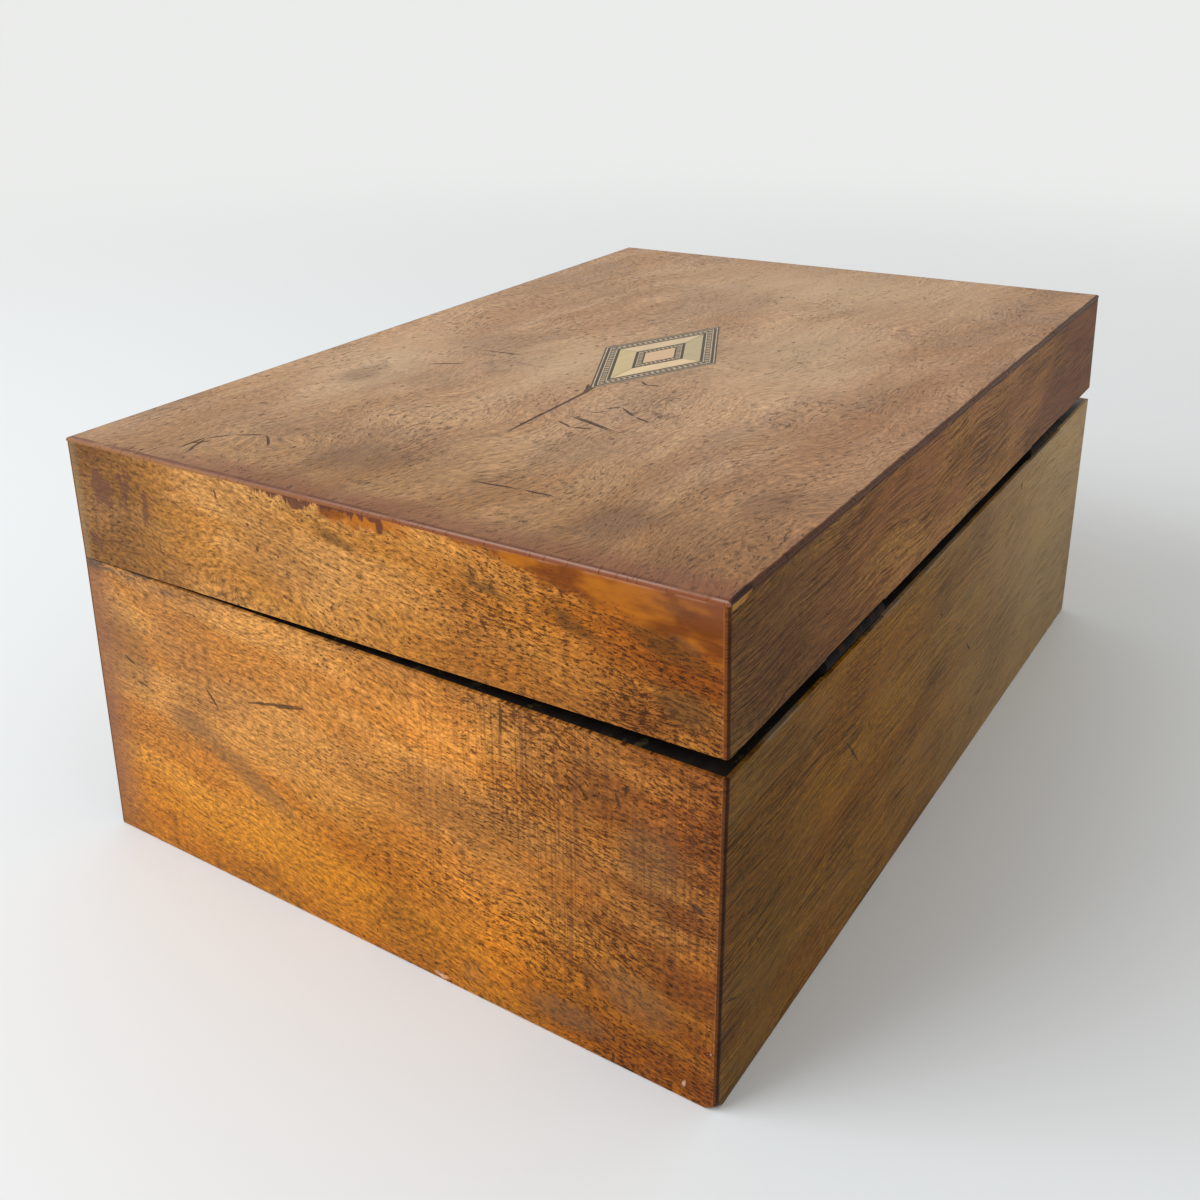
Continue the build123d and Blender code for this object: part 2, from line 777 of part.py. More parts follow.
def stuffed_sections(planes, insets, span_x, span_y, corner):
    """Rounded oblongs of a stuffed form, one on each plane, each drawn in by its inset."""
    sections = []
    for plane, inset in zip(planes, insets):
        with BuildSketch(plane) as outline:
            RectangleRounded(span_x - 2 * inset, span_y - 2 * inset, corner)
        sections.append(outline.sketch)
    return sections


pad_planes = [lid_rim_plane.offset(pad_seat - share * pad_thickness) for share in pad_shares]
tuft_plane = lid_rim_plane.offset(pad_seat - pad_thickness - tuft_radius + tuft_depth)
with BuildPart() as lid_silk_pad:
    loft(stuffed_sections(pad_planes, pad_insets, pad_length, pad_depth, pad_corner))
    with Locations(tuft_plane):
        tuft_pitches = (pad_length / tuft_columns, pad_depth / tuft_rows)
        with GridLocations(*tuft_pitches, tuft_columns, tuft_rows):
            Sphere(tuft_radius, mode=Mode.SUBTRACT)
save(lid_silk_pad, "lid_silk_pad")

# Lift-out tray: a thin bottom, four walls, and dividers lower than the walls
tray_floor = tray_seat + tray_bottom_thickness
tray_wall_height = tray_height - tray_bottom_thickness
divider_height = tray_wall_height - divider_drop
divider_top = tray_floor + divider_height
tray_inner_length = tray_length - 2 * tray_wall
tray_inner_depth = tray_depth - 2 * tray_wall

with BuildPart() as tray_bottom:
    with Locations((0, 0, tray_seat + tray_bottom_thickness / 2)):
        Box(tray_length, tray_depth, tray_bottom_thickness)
save(tray_bottom, "tray_bottom")

for side, sign in {"front": -1, "back": 1}.items():
    with BuildPart() as tray_long_wall:
        with Locations((0, sign * (tray_depth - tray_wall) / 2, tray_floor + tray_wall_height / 2)):
            Box(tray_length, tray_wall, tray_wall_height)
    save(tray_long_wall, f"tray_{side}_wall")

with BuildPart() as tray_end_walls:
    wall_x = (tray_length - tray_wall) / 2
    with Locations(*[(x, 0, tray_floor + tray_wall_height / 2) for x in (-wall_x, wall_x)]):
        Box(tray_wall, tray_inner_depth, tray_wall_height)
save(tray_end_walls, "tray_end_walls")

cross_divider_x = (centre_bay_length + divider) / 2
bay_divider_y = (middle_bay_depth + divider) / 2
divider_middle = tray_floor + divider_height / 2
with BuildPart() as tray_cross_dividers:
    with Locations(*[(x, 0, divider_middle) for x in (-cross_divider_x, cross_divider_x)]):
        Box(divider, tray_inner_depth, divider_height)
save(tray_cross_dividers, "tray_cross_dividers")

side_bay_length = (tray_inner_length - centre_bay_length) / 2 - divider
side_bay_x = (tray_inner_length - side_bay_length) / 2
bay_spans = {0: centre_bay_length, -side_bay_x: side_bay_length, side_bay_x: side_bay_length}
with BuildPart() as tray_bay_dividers:
    for bay_x, span in bay_spans.items():
        with Locations(*[(bay_x, y, divider_middle) for y in (-bay_divider_y, bay_divider_y)]):
            Box(span, divider, divider_height)
save(tray_bay_dividers, "tray_bay_dividers")

# Pincushion that fills the middle bay and swells above it
cushion_length = centre_bay_length - 2 * cushion_clearance
cushion_depth = middle_bay_depth - 2 * cushion_clearance
crown_planes = [
    Plane.XY.offset(divider_top + share * pincushion_crown) for share in crown_shares
]
with BuildPart() as pincushion:
    with BuildSketch(Plane.XY.offset(tray_floor)):
        RectangleRounded(cushion_length, cushion_depth, cushion_corner)
    extrude(amount=divider_height)
    loft(
        stuffed_sections(
            crown_planes, crown_insets, cushion_length, cushion_depth, cushion_corner
        )
    )
save(pincushion, "pincushion")

# Lift-off lids of the two side pockets, each with a turned bone knob
pocket_length = side_bay_length + divider / 2 - pocket_lid_clearance
pocket_depth = middle_bay_depth + divider
knob_profile = [
    (0, 0),
    (knob_foot_radius, 0),
    (knob_neck_radius, knob_height * 0.3),
    (knob_radius, knob_height * 0.65),
    (knob_radius * 0.7, knob_height * 0.93),
    (0, knob_height),
]
for side, sign in {"left": -1, "right": 1}.items():
    pocket_x = sign * (tray_inner_length / 2 - pocket_lid_clearance - pocket_length / 2)
    with BuildPart() as pocket_lid:
        with Locations((pocket_x, 0, divider_top)):
            Box(
                pocket_length,
                pocket_depth,
                pocket_lid_thickness,
                align=(Align.CENTER, Align.CENTER, Align.MIN),
            )
        upper_edges = pocket_lid.faces().sort_by(Axis.Z)[-1].edges()
        fillet(upper_edges, pocket_lid_rounding)
        with Locations((pocket_x, 0, divider_top + pocket_lid_thickness / 2)):
            Cylinder(
                knob_tenon_radius + knob_clearance, pocket_lid_thickness, mode=Mode.SUBTRACT
            )
    save(pocket_lid, f"{side}_pocket_lid")

    with BuildPart() as pocket_knob:
        knob_plane = Plane(
            origin=(pocket_x, 0, divider_top + pocket_lid_thickness),
            x_dir=(1, 0, 0),
            z_dir=(0, -1, 0),
        )
        with BuildSketch(knob_plane):
            with BuildLine():
                Polyline(*knob_profile[:2])
                Spline(*knob_profile[1:])
                Line(knob_profile[-1], knob_profile[0])
            make_face()
        revolve(axis=Axis(knob_plane.origin, (0, 0, 1)))
        with Locations((pocket_x, 0, divider_top + pocket_lid_thickness)):
            Cylinder(
                knob_tenon_radius,
                pocket_lid_thickness,
                align=(Align.CENTER, Align.CENTER, Align.MAX),
            )
    save(pocket_knob, f"{side}_pocket_knob")
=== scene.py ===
import math
import bpy
from mathutils import Euler, Matrix, Vector


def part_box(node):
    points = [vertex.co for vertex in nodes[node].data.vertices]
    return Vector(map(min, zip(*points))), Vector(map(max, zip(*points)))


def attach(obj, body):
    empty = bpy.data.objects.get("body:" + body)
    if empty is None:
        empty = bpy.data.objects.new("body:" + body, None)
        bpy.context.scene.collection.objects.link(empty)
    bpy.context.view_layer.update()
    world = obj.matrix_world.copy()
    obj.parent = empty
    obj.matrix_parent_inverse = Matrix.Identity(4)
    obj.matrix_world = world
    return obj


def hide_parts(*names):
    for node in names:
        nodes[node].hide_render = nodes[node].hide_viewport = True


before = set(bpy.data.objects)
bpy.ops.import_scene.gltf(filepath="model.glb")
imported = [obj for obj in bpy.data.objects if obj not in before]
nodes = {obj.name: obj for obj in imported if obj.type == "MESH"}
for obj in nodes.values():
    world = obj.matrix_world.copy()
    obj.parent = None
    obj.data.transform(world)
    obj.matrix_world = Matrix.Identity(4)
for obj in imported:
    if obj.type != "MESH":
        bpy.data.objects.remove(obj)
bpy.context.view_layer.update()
bpy.ops.object.select_all(action="DESELECT")


# Carcass of base and lid: pine boards eight millimetres thick, and six in the bottom, glued and
# planed under the veneer. They show as bare wood only underneath the box. Pine is pale, with soft
# yellow rings and the grey of old dust rubbed into it.

mm = 0.001
hinge_gap = 4.6 * mm
base_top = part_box("base_rim")[1].z
half_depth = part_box("base_back_veneer")[1].y
half_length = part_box("base_back_veneer")[1].x
half_depth_mm = half_depth / mm
half_length_mm = half_length / mm
lid_tilt = math.asin(hinge_gap / (2 * half_depth))
front_gap = 0.1 * mm
lid_origin = (
    0,
    half_depth * (math.cos(lid_tilt) - 1),
    base_top + front_gap + half_depth * math.sin(lid_tilt),
)


class Field:
    """One socket of a finish. Sums and products of fields add the nodes that work them out."""

    def __init__(self, finish, socket):
        self.finish = finish
        self.socket = socket

    def __add__(self, other):
        return self.finish.maths("ADD", self, other)

    def __sub__(self, other):
        return self.finish.maths("SUBTRACT", self, other)

    def __rsub__(self, other):
        return self.finish.maths("SUBTRACT", other, self)

    def __mul__(self, other):
        return self.finish.maths("MULTIPLY", self, other)

    def __truediv__(self, other):
        return self.finish.maths("DIVIDE", self, other)

    def __abs__(self):
        return self.finish.maths("ABSOLUTE", self)

    __radd__ = __add__
    __rmul__ = __mul__


class Finish:
    """A finish being mixed: the nodes of one material, and the shader that they feed."""

    def __init__(self, name, **constants):
        self.material = bpy.data.materials.new(name)
        self.material.use_nodes = True
        self.shader = self.material.node_tree.nodes["Principled BSDF"]
        for socket, value in constants.items():
            self.shader.inputs[socket.replace("_", " ")].default_value = value

    def node(self, kind, settings, inputs, output=0):
        """Add a node, set it up, feed its inputs with values or fields, and return one output."""
        made = self.material.node_tree.nodes.new("ShaderNode" + kind)
        for setting, value in settings.items():
            setattr(made, setting, value)
        for socket, value in inputs.items():
            if isinstance(value, Field):
                self.material.node_tree.links.new(value.socket, made.inputs[socket])
            else:
                made.inputs[socket].default_value = value
        return Field(self, made.outputs[output])

    def maths(self, operation, *values):
        return self.node("Math", {"operation": operation}, dict(enumerate(values)))

    def vector_maths(self, operation, *values):
        return self.node("VectorMath", {"operation": operation}, dict(enumerate(values)))

    def step(self, value, low, high, at_low=0.0, at_high=1.0):
        """A smooth step between two levels, which falls as the value grows if low is above high."""
        sockets = {"Value": value, 1: low, 2: high, 3: at_low, 4: at_high}
        if low > high:
            sockets = {"Value": value, 1: high, 2: low, 3: at_high, 4: at_low}
        return self.node("MapRange", {"interpolation_type": "SMOOTHSTEP"}, sockets)

    def mix(self, amount, under, over, how="MIX"):
        """Lay one colour over another by an amount between 0 and 1."""
        settings = {"data_type": "RGBA", "blend_type": how}
        lower, upper = [tone if isinstance(tone, Field) else (*tone, 1.0) for tone in (under, over)]
        return self.node("Mix", settings, {0: amount, 6: lower, 7: upper}, 2)

    def scale(self, vector, factor):
        """Stretch a vector, or lighten a colour, by a factor that may vary."""
        return self.node("VectorMath", {"operation": "SCALE"}, {0: vector, "Scale": factor})

    def place(self, on_lid=False):
        """The point on the piece in millimetres, in the box's frame or in the tilted lid's own."""
        point = self.node("TexCoord", {}, {}, "Object")
        sockets = {"Vector": point, "Scale": (mm, mm, mm)}
        if on_lid:
            sockets["Location"] = lid_origin
            sockets["Rotation"] = (lid_tilt, 0, 0)
        return self.node("Mapping", {"vector_type": "TEXTURE"}, sockets)

    def axes(self, vector):
        """The three components of a vector."""
        split = self.node("SeparateXYZ", {}, {0: vector}).socket.node
        return [Field(self, part) for part in split.outputs]

    def join(self, x, y, z=0.0):
        return self.node("CombineXYZ", {}, {0: x, 1: y, 2: z})

    def in_units(self, point, sizes, shift):
        """The point measured in units of the given sizes, and shifted, to start a pattern from."""
        shares = (1 / sizes[0], 1 / sizes[1], 1)
        sockets = {"Vector": point, "Scale": shares, "Location": (*shift, 0)}
        return self.node("Mapping", {"vector_type": "POINT"}, sockets)

    def noise(self, point, sizes, detail=2.0, roughness=0.5, seed=0.0, output=0):
        """Soft random waves of the given sizes, in millimetres along and across, around 0.5."""
        scaled = self.in_units(point, sizes, (seed, 2.7 * seed))
        sockets = {"Vector": scaled, "Scale": 1.0, "Detail": detail, "Roughness": roughness}
        return self.node("TexNoise", {"noise_dimensions": "2D"}, sockets, output)

    def cells(self, point, sizes, seed=0.0):
        """The distance from the nearest of many scattered points, and a random number for each."""
        scaled = self.in_units(point, sizes, (seed, 1.9 * seed))
        sockets = {"Vector": scaled, "Scale": 1.0}
        distance = self.node("TexVoronoi", {"voronoi_dimensions": "2D"}, sockets)
        tint = Field(self, distance.socket.node.outputs["Color"])
        return distance, self.axes(tint)[0]

    def finish_off(self, colour, roughness, height, depth):
        """Feed the shader. Height is in shares of a depth in millimetres."""
        links = self.material.node_tree.links
        links.new(colour.socket, self.shader.inputs["Base Color"])
        if roughness is not None:
            links.new(roughness.socket, self.shader.inputs["Roughness"])
        bump = self.node("Bump", {}, {"Height": height, "Distance": depth * mm, "Strength": 1.0})
        links.new(bump.socket, self.shader.inputs["Normal"])


def dress(finish, *names):
    """Give CAD nodes a finish."""
    for name in names:
        slots = nodes[name].data.materials
        slots.clear()
        slots.append(finish.material)


new_pine = (0.52, 0.34, 0.17)
pine_rings = (0.36, 0.2, 0.085)
old_dust = (0.2, 0.15, 0.1)
pine = Finish("pine", Roughness=0.75)
x, y, z = pine.axes(pine.place())
grain = pine.join(x, y + z * 1.7)
rings = pine.noise(grain, (160, 5), 3, 0.6)
fibres = pine.noise(grain, (14, 0.5), 2, 0.6, 3.1)
grime = pine.noise(grain, (55, 40), 3, 0.6, 7.7)
wood = pine.mix(pine.step(rings, 0.42, 0.58), new_pine, pine_rings)
wood = pine.mix(pine.step(grime, 0.45, 0.7, 0, 0.5), wood, old_dust)
wood = pine.scale(wood, fibres * 0.5 + 0.75)
pine.finish_off(wood, None, fibres, 0.08)
dress(
    pine, "base_front_board", "base_back_board", "base_left_board", "base_right_board",
    "base_bottom_board", "lid_front_board", "lid_back_board", "lid_left_board",
    "lid_right_board", "lid_top_board",
)


# Walnut veneer on the sides of the base: saw cut sheets a millimetre thick, glued down with
# the grain running level, stained, and French polished. Handling has thinned the polish and
# filled the pores with dark wax.

flow_size = (70, 45)
wave_size = (75, 16)
haze_size = (48, 34)
fleck_size = (2.4, 0.8)
pore_crowd_size = (34, 20)
pore_softness = 0.09


def figure(finish, point, tones, grain, seed):
    """Walnut under polish: tones in long waves, smoky figure, streaks, flecks and dark pores."""
    flow = finish.noise(point, flow_size, 2, 0.5, seed + 11)
    x, y, _ = finish.axes(point)
    bent = finish.join(x, y + x * grain["slope"] + (flow - 0.5) * grain["swirl"])
    wave = finish.noise(bent, wave_size, 3, 0.55, seed + 1)
    haze = finish.noise(point, haze_size, 3, 0.6, seed + 5)
    lines = finish.noise(bent, grain["line"], 3, 0.65, seed + 2)
    flecks = finish.noise(bent, fleck_size, 3, 0.75, seed + 8)
    colour = finish.mix(finish.step(wave, 0.36, 0.64), tones[0], tones[1])
    colour = finish.mix(finish.step(haze, 0.44, 0.68, 0, grain["smoke"]), colour, tones[2])
    light = (lines - 0.5) * grain["streaks"] + (flecks - 0.5) * grain["flecks"] + 1.0
    colour = finish.scale(colour, light)
    crowd = finish.noise(point, pore_crowd_size, 2, 0.5, seed + 4) * 0.3 - 0.15
    dashes = finish.noise(bent, grain["pore"], 2, 0.8, seed + 9) + crowd + grain["crowding"](finish, x)
    pores = finish.step(dashes, grain["threshold"], grain["threshold"] + pore_softness)
    colour = finish.mix(pores * grain["depth"], colour, tones[3])
    return colour, pores, flecks, bent


def stroke(finish, point, start, end, width):
    """A scratch that tapers at both ends, from one point to another, as a mask."""
    along = (end[0] - start[0], end[1] - start[1])
    half = math.hypot(*along) / 2
    settled = finish.node(
        "Mapping", {"vector_type": "TEXTURE"},
        {
            "Vector": point,
            "Location": ((start[0] + end[0]) / 2, (start[1] + end[1]) / 2, 0),
            "Rotation": (0, 0, math.atan2(along[1], along[0])),
            "Scale": (half + width, width, 1),
        },
    )
    return finish.step(finish.node("VectorMath", {"operation": "LENGTH"}, {0: settled}, 1), 1.0, 0.55)


def blot(finish, point, centre, sizes, turn, softness):
    """A soft oval stain, as a mask."""
    settled = finish.node(
        "Mapping", {"vector_type": "TEXTURE"},
        {
            "Vector": point,
            "Location": (*centre, 0),
            "Rotation": (0, 0, math.radians(turn)),
            "Scale": (*sizes, 1),
        },
    )
    reach = finish.node("VectorMath", {"operation": "LENGTH"}, {0: settled}, 1)
    return finish.step(reach, 1.0, 1.0 - softness)


def strongest(finish, masks):
    """The highest of several masks, from place to place."""
    highest = masks[0]
    for mask in masks[1:]:
        highest = finish.maths("MAXIMUM", highest, mask)
    return highest


def scratches(finish, point, lines, width):
    """Scratches as one mask, each a list of points that strokes join."""
    pairs = [pair for line in lines for pair in zip(line, line[1:])]
    return strongest(finish, [stroke(finish, point, start, end, width) for start, end in pairs])


def blots(finish, point, places, softness=0.7):
    """Soft stains as one mask, each a centre, its half sizes and its turn."""
    return strongest(finish, [blot(finish, point, *place, softness) for place in places])


def shaken(finish, point, size, reach, seed=0.0):
    """The same point, shifted a little at random, so that what is drawn with it wavers."""
    random_shift = finish.noise(point, (size, size), 2, 0.6, seed, "Color")
    centred = finish.vector_maths("SUBTRACT", random_shift, (0.5, 0.5, 0.5))
    in_plane = finish.vector_maths("MULTIPLY", centred, (reach, reach, 0))
    return finish.vector_maths("ADD", point, in_plane)


honey = (0.545, 0.23, 0.046)
amber = (0.46, 0.168, 0.024)
umber = (0.3, 0.12, 0.028)
wax = (0.075, 0.022, 0.005)
varnish = (0.075, 0.014, 0.005)
base_end_tones = (honey, amber, umber, wax)
polish = 0.1


def even(finish, along):
    """Pores as many at one end of a sheet as at the other."""
    return 0.0


def coarser_near_hinges(finish, along):
    """Pores few at the front of an end and many at the back."""
    return finish.step(along, -60, 80, -0.085, 0.05)


end_grain = {
    "slope": 0.12, "swirl": 16, "line": (24, 1.4), "streaks": 0.9, "flecks": 2.9, "smoke": 0.6,
    "pore": (2.4, 0.7), "threshold": 0.605, "depth": 0.85, "crowding": coarser_near_hinges,
}

right_end = Finish("walnut_base_right_end", Specular_IOR_Level=polish)
_, y, z = right_end.axes(right_end.place())
face = right_end.join(y, z)
wood, pores, flecks, bent = figure(right_end, face, base_end_tones, end_grain, 3.0)
bleached = right_end.step(y, 40, -60) * right_end.step(z, 20, 70)
wood = right_end.mix(bleached * 0.5, wood, (1.0, 1.12, 1.6), "MULTIPLY")
bands = right_end.step(right_end.noise(bent, (55, 9), 3, 0.6, 2.2), 0.2, 0.58, 0.35, 1.0)
brown = right_end.step(y, 22, 88) * bands
wood = right_end.mix(brown, wood, (0.46, 0.34, 0.24), "MULTIPLY")
fiery = right_end.step(z, 50, 14)
wood = right_end.mix(fiery, wood, (1.02, 0.93, 0.34), "MULTIPLY")
scuffed_foot = right_end.step(z, 24, 2)
wood = right_end.mix(scuffed_foot * 0.6, wood, (0.76, 0.66, 0.5), "MULTIPLY")
drawn = shaken(right_end, face, 6, 2.4)
wear_and_sheen = blots(
    right_end, shaken(right_end, face, 22, 16.0),
    [((34, 28), (34, 26), -20), ((22, 70), (30, 18), 0), ((86, 74), (18, 16), 0)], 1.0,
)
wood = right_end.scale(wood, wear_and_sheen * 0.35 + 1.0)
mellow = blot(right_end, shaken(right_end, face, 22, 16.0, 3.0), (-8, 24), (44, 40), 0, 1.0)
wood = right_end.mix(mellow * 0.9, wood, (0.82, 0.76, 0.5), "MULTIPLY")
stain = blots(
    right_end, drawn,
    [((-44, 38), (28, 5), -24), ((-62, 46), (14, 5), -10), ((-86, 62), (14, 20), 20),
     ((78, 22), (16, 9), -15), ((60, 8), (16, 6), 0), ((82, 60), (12, 14), -20)],
)
wood = right_end.mix(stain * 0.5, wood, (0.17, 0.085, 0.035))
far_side = right_end.step(y, -84, -99) * right_end.step(z, -12, 20)
wood = right_end.mix(far_side * 0.75, wood, (0.2, 0.085, 0.05))
cuts = scratches(
    right_end, shaken(right_end, face, 4, 0.8, 5.0),
    [[(-42, 59.5), (-18.5, 65.5)], [(-31, 62), (-18, 65)], [(-55.5, 60), (-51, 54)], [(43, 87), (43, 78)],
     [(73, 3.5), (73, 0)], [(-84, 53), (-79, 52)], [(-88, 60), (-84, 58)],
     [(76.5, 77), (76, 75)], [(73.5, 74.5), (74.5, 70.5)]],
    0.5,
)
dots = blots(
    right_end, drawn,
    [((-10, 80), (0.8, 0.6), 0), ((-2.5, 84.5), (0.7, 0.5), 0), ((-46, 64.5), (0.5, 0.5), 0),
     ((93.8, 53), (1.5, 1.6), 30), ((96.5, 58.5), (0.7, 1.3), 0), ((34.5, 9), (1.5, 0.6), -20),
     ((76.5, 76.5), (0.7, 0.9), 0)],
    0.5,
)
wood = right_end.mix(right_end.maths("MAXIMUM", cuts, dots) * 0.85, wood, (0.055, 0.026, 0.011))
knot = blot(right_end, drawn, (32, 7), (5, 5), 0, 0.9)
wood = right_end.mix(knot * 0.35, wood, (0.2, 0.09, 0.035))
pale = blots(
    right_end, drawn,
    [((22, 1.5), (2.6, 0.8), 0), ((92, 4.5), (0.9, 1.3), 0), ((98, 16), (0.4, 0.4), 0)], 0.6
)
wood = right_end.mix(pale * 0.6, wood, (0.75, 0.5, 0.36))
saw = right_end.noise(face, (0.9, 60), 2, 0.5, 9.0)
sawn = right_end.step(right_end.noise(face, (32, 60), 2, 0.5, 6.4), 0.32, 0.6)
sawn = sawn * right_end.step(y, -10, 55, 0.25, 1.0)
wood = right_end.mix(right_end.step(saw, 0.5, 0.64) * sawn * 0.5, wood, (0.14, 0.05, 0.018))
grimy = right_end.step(right_end.noise(face, (9, 3), 3, 0.6, 1.0), 0.42, 0.58)
under_lid = right_end.step(z, 82.5, 86.5) * right_end.step(y, -30, -80) * grimy
wood = right_end.mix(under_lid * 0.8, wood, (0.07, 0.055, 0.045))
edge_wear = right_end.noise(face, (8, 8), 3, 0.6, 4.0)
arris = right_end.step(abs(y), half_depth_mm - 1.5, half_depth_mm - 0.8)
wood = right_end.mix(arris * right_end.step(edge_wear, 0.35, 0.5) * 0.7, wood, (0.3, 0.11, 0.03))
relief = flecks * 0.35 - pores * 0.5 - cuts * 0.5 - saw * sawn * 0.2
right_end.finish_off(wood, flecks * 0.3 + pores * 0.2 + 0.26, relief, 0.35)
dress(right_end, "base_right_veneer")

left_end = Finish("walnut_base_left_end", Specular_IOR_Level=polish)
_, y, z = left_end.axes(left_end.place())
face = left_end.join(y, z)
wood, pores, flecks, _ = figure(left_end, face, base_end_tones, end_grain, 41.0)
stain = blots(
    left_end, shaken(left_end, face, 8, 4.0),
    [((60, 30), (22, 7), 24), ((-70, 64), (20, 9), -12), ((-20, 12), (30, 6), 4)],
)
wood = left_end.mix(stain * 0.45, wood, (0.17, 0.085, 0.04))
cuts = scratches(
    left_end, shaken(left_end, face, 4, 0.8, 5.0),
    [[(12, 50), (31, 46)], [(-48, 20), (-42, 26)], [(70, 66), (66, 74)]], 0.4,
)
wood = left_end.mix(cuts * 0.8, wood, (0.055, 0.022, 0.02))
arris = left_end.step(abs(y), half_depth_mm - 1.3, half_depth_mm - 0.5)
wood = left_end.mix(arris * 0.85, wood, varnish)
relief = flecks * 0.35 - pores * 0.5 - cuts * 0.5
left_end.finish_off(wood, flecks * 0.3 + pores * 0.2 + 0.26, relief, 0.35)
dress(left_end, "base_left_veneer")

drab = (0.24, 0.104, 0.009)
russet = (0.2, 0.076, 0.006)
ash = (0.155, 0.082, 0.011)
side_grain = {
    "slope": 0.03, "swirl": 10, "line": (30, 0.6), "streaks": 1.9, "flecks": 2.2, "smoke": 0.25,
    "pore": (22, 0.5), "threshold": 0.57, "depth": 0.8, "crowding": even,
}


def edge_waver(finish, point):
    """A small random shift of an edge line, in millimetres."""
    return finish.noise(point, (7, 7), 3, 0.6, 6.0) * 0.9 - 0.45


def long_side(name, cad_name, seed, dust_and_sheen_amount, marks, nicks):
    """The veneer of the base's back or front, with marks as lists of points and nicks as stains."""
    side = Finish(name, Specular_IOR_Level=polish / 2)
    x, _, z = side.axes(side.place())
    face = side.join(x, z)
    wood, pores, flecks, _ = figure(side, face, (drab, russet, ash, wax), side_grain, seed)
    wear_and_sheen = side.step(side.noise(face, (90, 30), 2, 0.5, seed + 3), 0.5, 0.68)
    wood = side.mix(wear_and_sheen * 0.3, wood, (0.3, 0.155, 0.04))
    # Lighter and greyer towards the far end, and lighter still higher up there: partly dust, partly a
    # painted reflection of pale surroundings on the polish, seen at a glancing angle.
    far_dust_and_sheen = side.step(x, 70, -120)
    wood = side.mix(far_dust_and_sheen * dust_and_sheen_amount, wood, (0.38, 0.27, 0.13))
    high_dust_and_sheen = side.step(x, 0, -120) * side.step(z, 25, 80)
    wood = side.scale(wood, high_dust_and_sheen * dust_and_sheen_amount * 0.45 + 1.0)
    handled = side.step(x, 84, 132)
    wood = side.scale(wood, 1 - handled * 0.3)
    cuts = scratches(side, shaken(side, face, 5, 1.0, seed), marks, 0.4)
    chips = blots(side, shaken(side, face, 3, 1.0, seed), nicks, 0.4)
    wood = side.mix(side.maths("MAXIMUM", cuts, chips) * 0.8, wood, (0.04, 0.022, 0.015))
    # A broken pale grey line along the top edge: a painted highlight on the rounded edge.
    rim_edge_highlight = side.step(z, 85.9, 86.5) * side.step(side.noise(face, (30, 9), 2, 0.6, seed), 0.4, 0.56)
    wood = side.mix(rim_edge_highlight * 0.5, wood, (0.22, 0.18, 0.13))
    arris = side.step(abs(x) + edge_waver(side, face), half_length_mm - 1.4, half_length_mm - 0.7)
    wood = side.mix(arris * 0.9, wood, (0.028, 0.009, 0.005))
    end_edge = side.step(abs(x), half_length_mm - 0.2, half_length_mm - 0.05)
    wood = side.mix(end_edge * 0.8, wood, (0.13, 0.045, 0.012))
    relief = flecks * 0.3 - pores * 0.6 - cuts * 0.5 - chips * 0.5
    side.finish_off(wood, flecks * 0.3 + 0.28, relief, 0.4)
    dress(side, cad_name)


long_side(
    "walnut_base_back", "base_back_veneer", 23.0, 0.6,
    [[(81, 62), (70.5, 49.5)], [(65.5, 59.5), (65, 57)], [(136, 26), (143, 29.5)],
     [(30, 20), (44, 22)], [(-20, 40), (-16, 44)], [(103, 74), (96, 73)]],
    [((-61.5, 80.5), (0.9, 1.4), 0), ((127, 35), (0.6, 0.6), 0), ((12, 66), (0.8, 0.7), 0)],
)
long_side(
    "walnut_base_front", "base_front_veneer", 67.0, 0.2,
    [[(-98, 30), (-84, 33)], [(40, 14), (47, 20)], [(110, 60), (102, 52)], [(-30, 50), (-27, 44)]],
    [((9, 54), (1.2, 0.6), 12), ((-8, 52), (0.7, 0.5), 0), ((88, 79), (1.1, 0.9), 0)],
)


# Walnut veneer on the lid: the same sheets as on the base, worn paler on top, where the polish has
# crazed, and thick and orange along the end's upper edge, where it ran when it was brushed on. A
# painted reflection makes the top's far end paler and greyer, and painted highlights run along edges.

lid_height_mm = 35.0

sand = (0.52, 0.25, 0.07)
tawny = (0.42, 0.175, 0.03)
lid_end_tones = (sand, tawny, umber, wax)

lid_right = Finish("walnut_lid_right_end", Specular_IOR_Level=polish)
_, y, z = lid_right.axes(lid_right.place(on_lid=True))
face = lid_right.join(y, z)
wood, pores, flecks, bent = figure(lid_right, face, lid_end_tones, end_grain, 14.0)
golden = lid_right.step(y, -20, 50)
wood = lid_right.mix(golden * 0.75, wood, (0.92, 0.72, 0.32), "MULTIPLY")
bands = lid_right.step(lid_right.noise(bent, (40, 7), 3, 0.6, 4.1), 0.25, 0.58, 0.3, 1.0)
brown = lid_right.step(y, 40, 92) * bands
wood = lid_right.mix(brown * 0.9, wood, (0.45, 0.33, 0.2), "MULTIPLY")
smoked = lid_right.step(y, -46, -84)
wood = lid_right.mix(smoked * 0.95, wood, (0.42, 0.4, 0.44), "MULTIPLY")
drawn = shaken(lid_right, face, 5, 4.0)
patches = blots(
    lid_right, drawn,
    [((-88, 22), (9, 12), 6), ((-78, 24), (5, 11), 4), ((-71, 20), (3, 10), -10),
     ((-67.5, 10), (1.5, 4), 0), ((-93, 6), (7, 4), -20)],
    1.0,
)
flaking = lid_right.noise(face, (3.5, 6), 3, 0.75, 21.0) * 1.8 - 0.9
stain = lid_right.step(patches + flaking, 0.5, 0.72)
wood = lid_right.mix(stain * 0.65, wood, (0.115, 0.042, 0.028))
smoky = blots(
    lid_right, drawn,
    [((86, 22), (14, 5), -14), ((63, 21), (10, 3), -24), ((-4, 26), (9, 2.5), -14),
     ((40, 24), (12, 2), -14), ((90, 9), (10, 6), -10)],
)
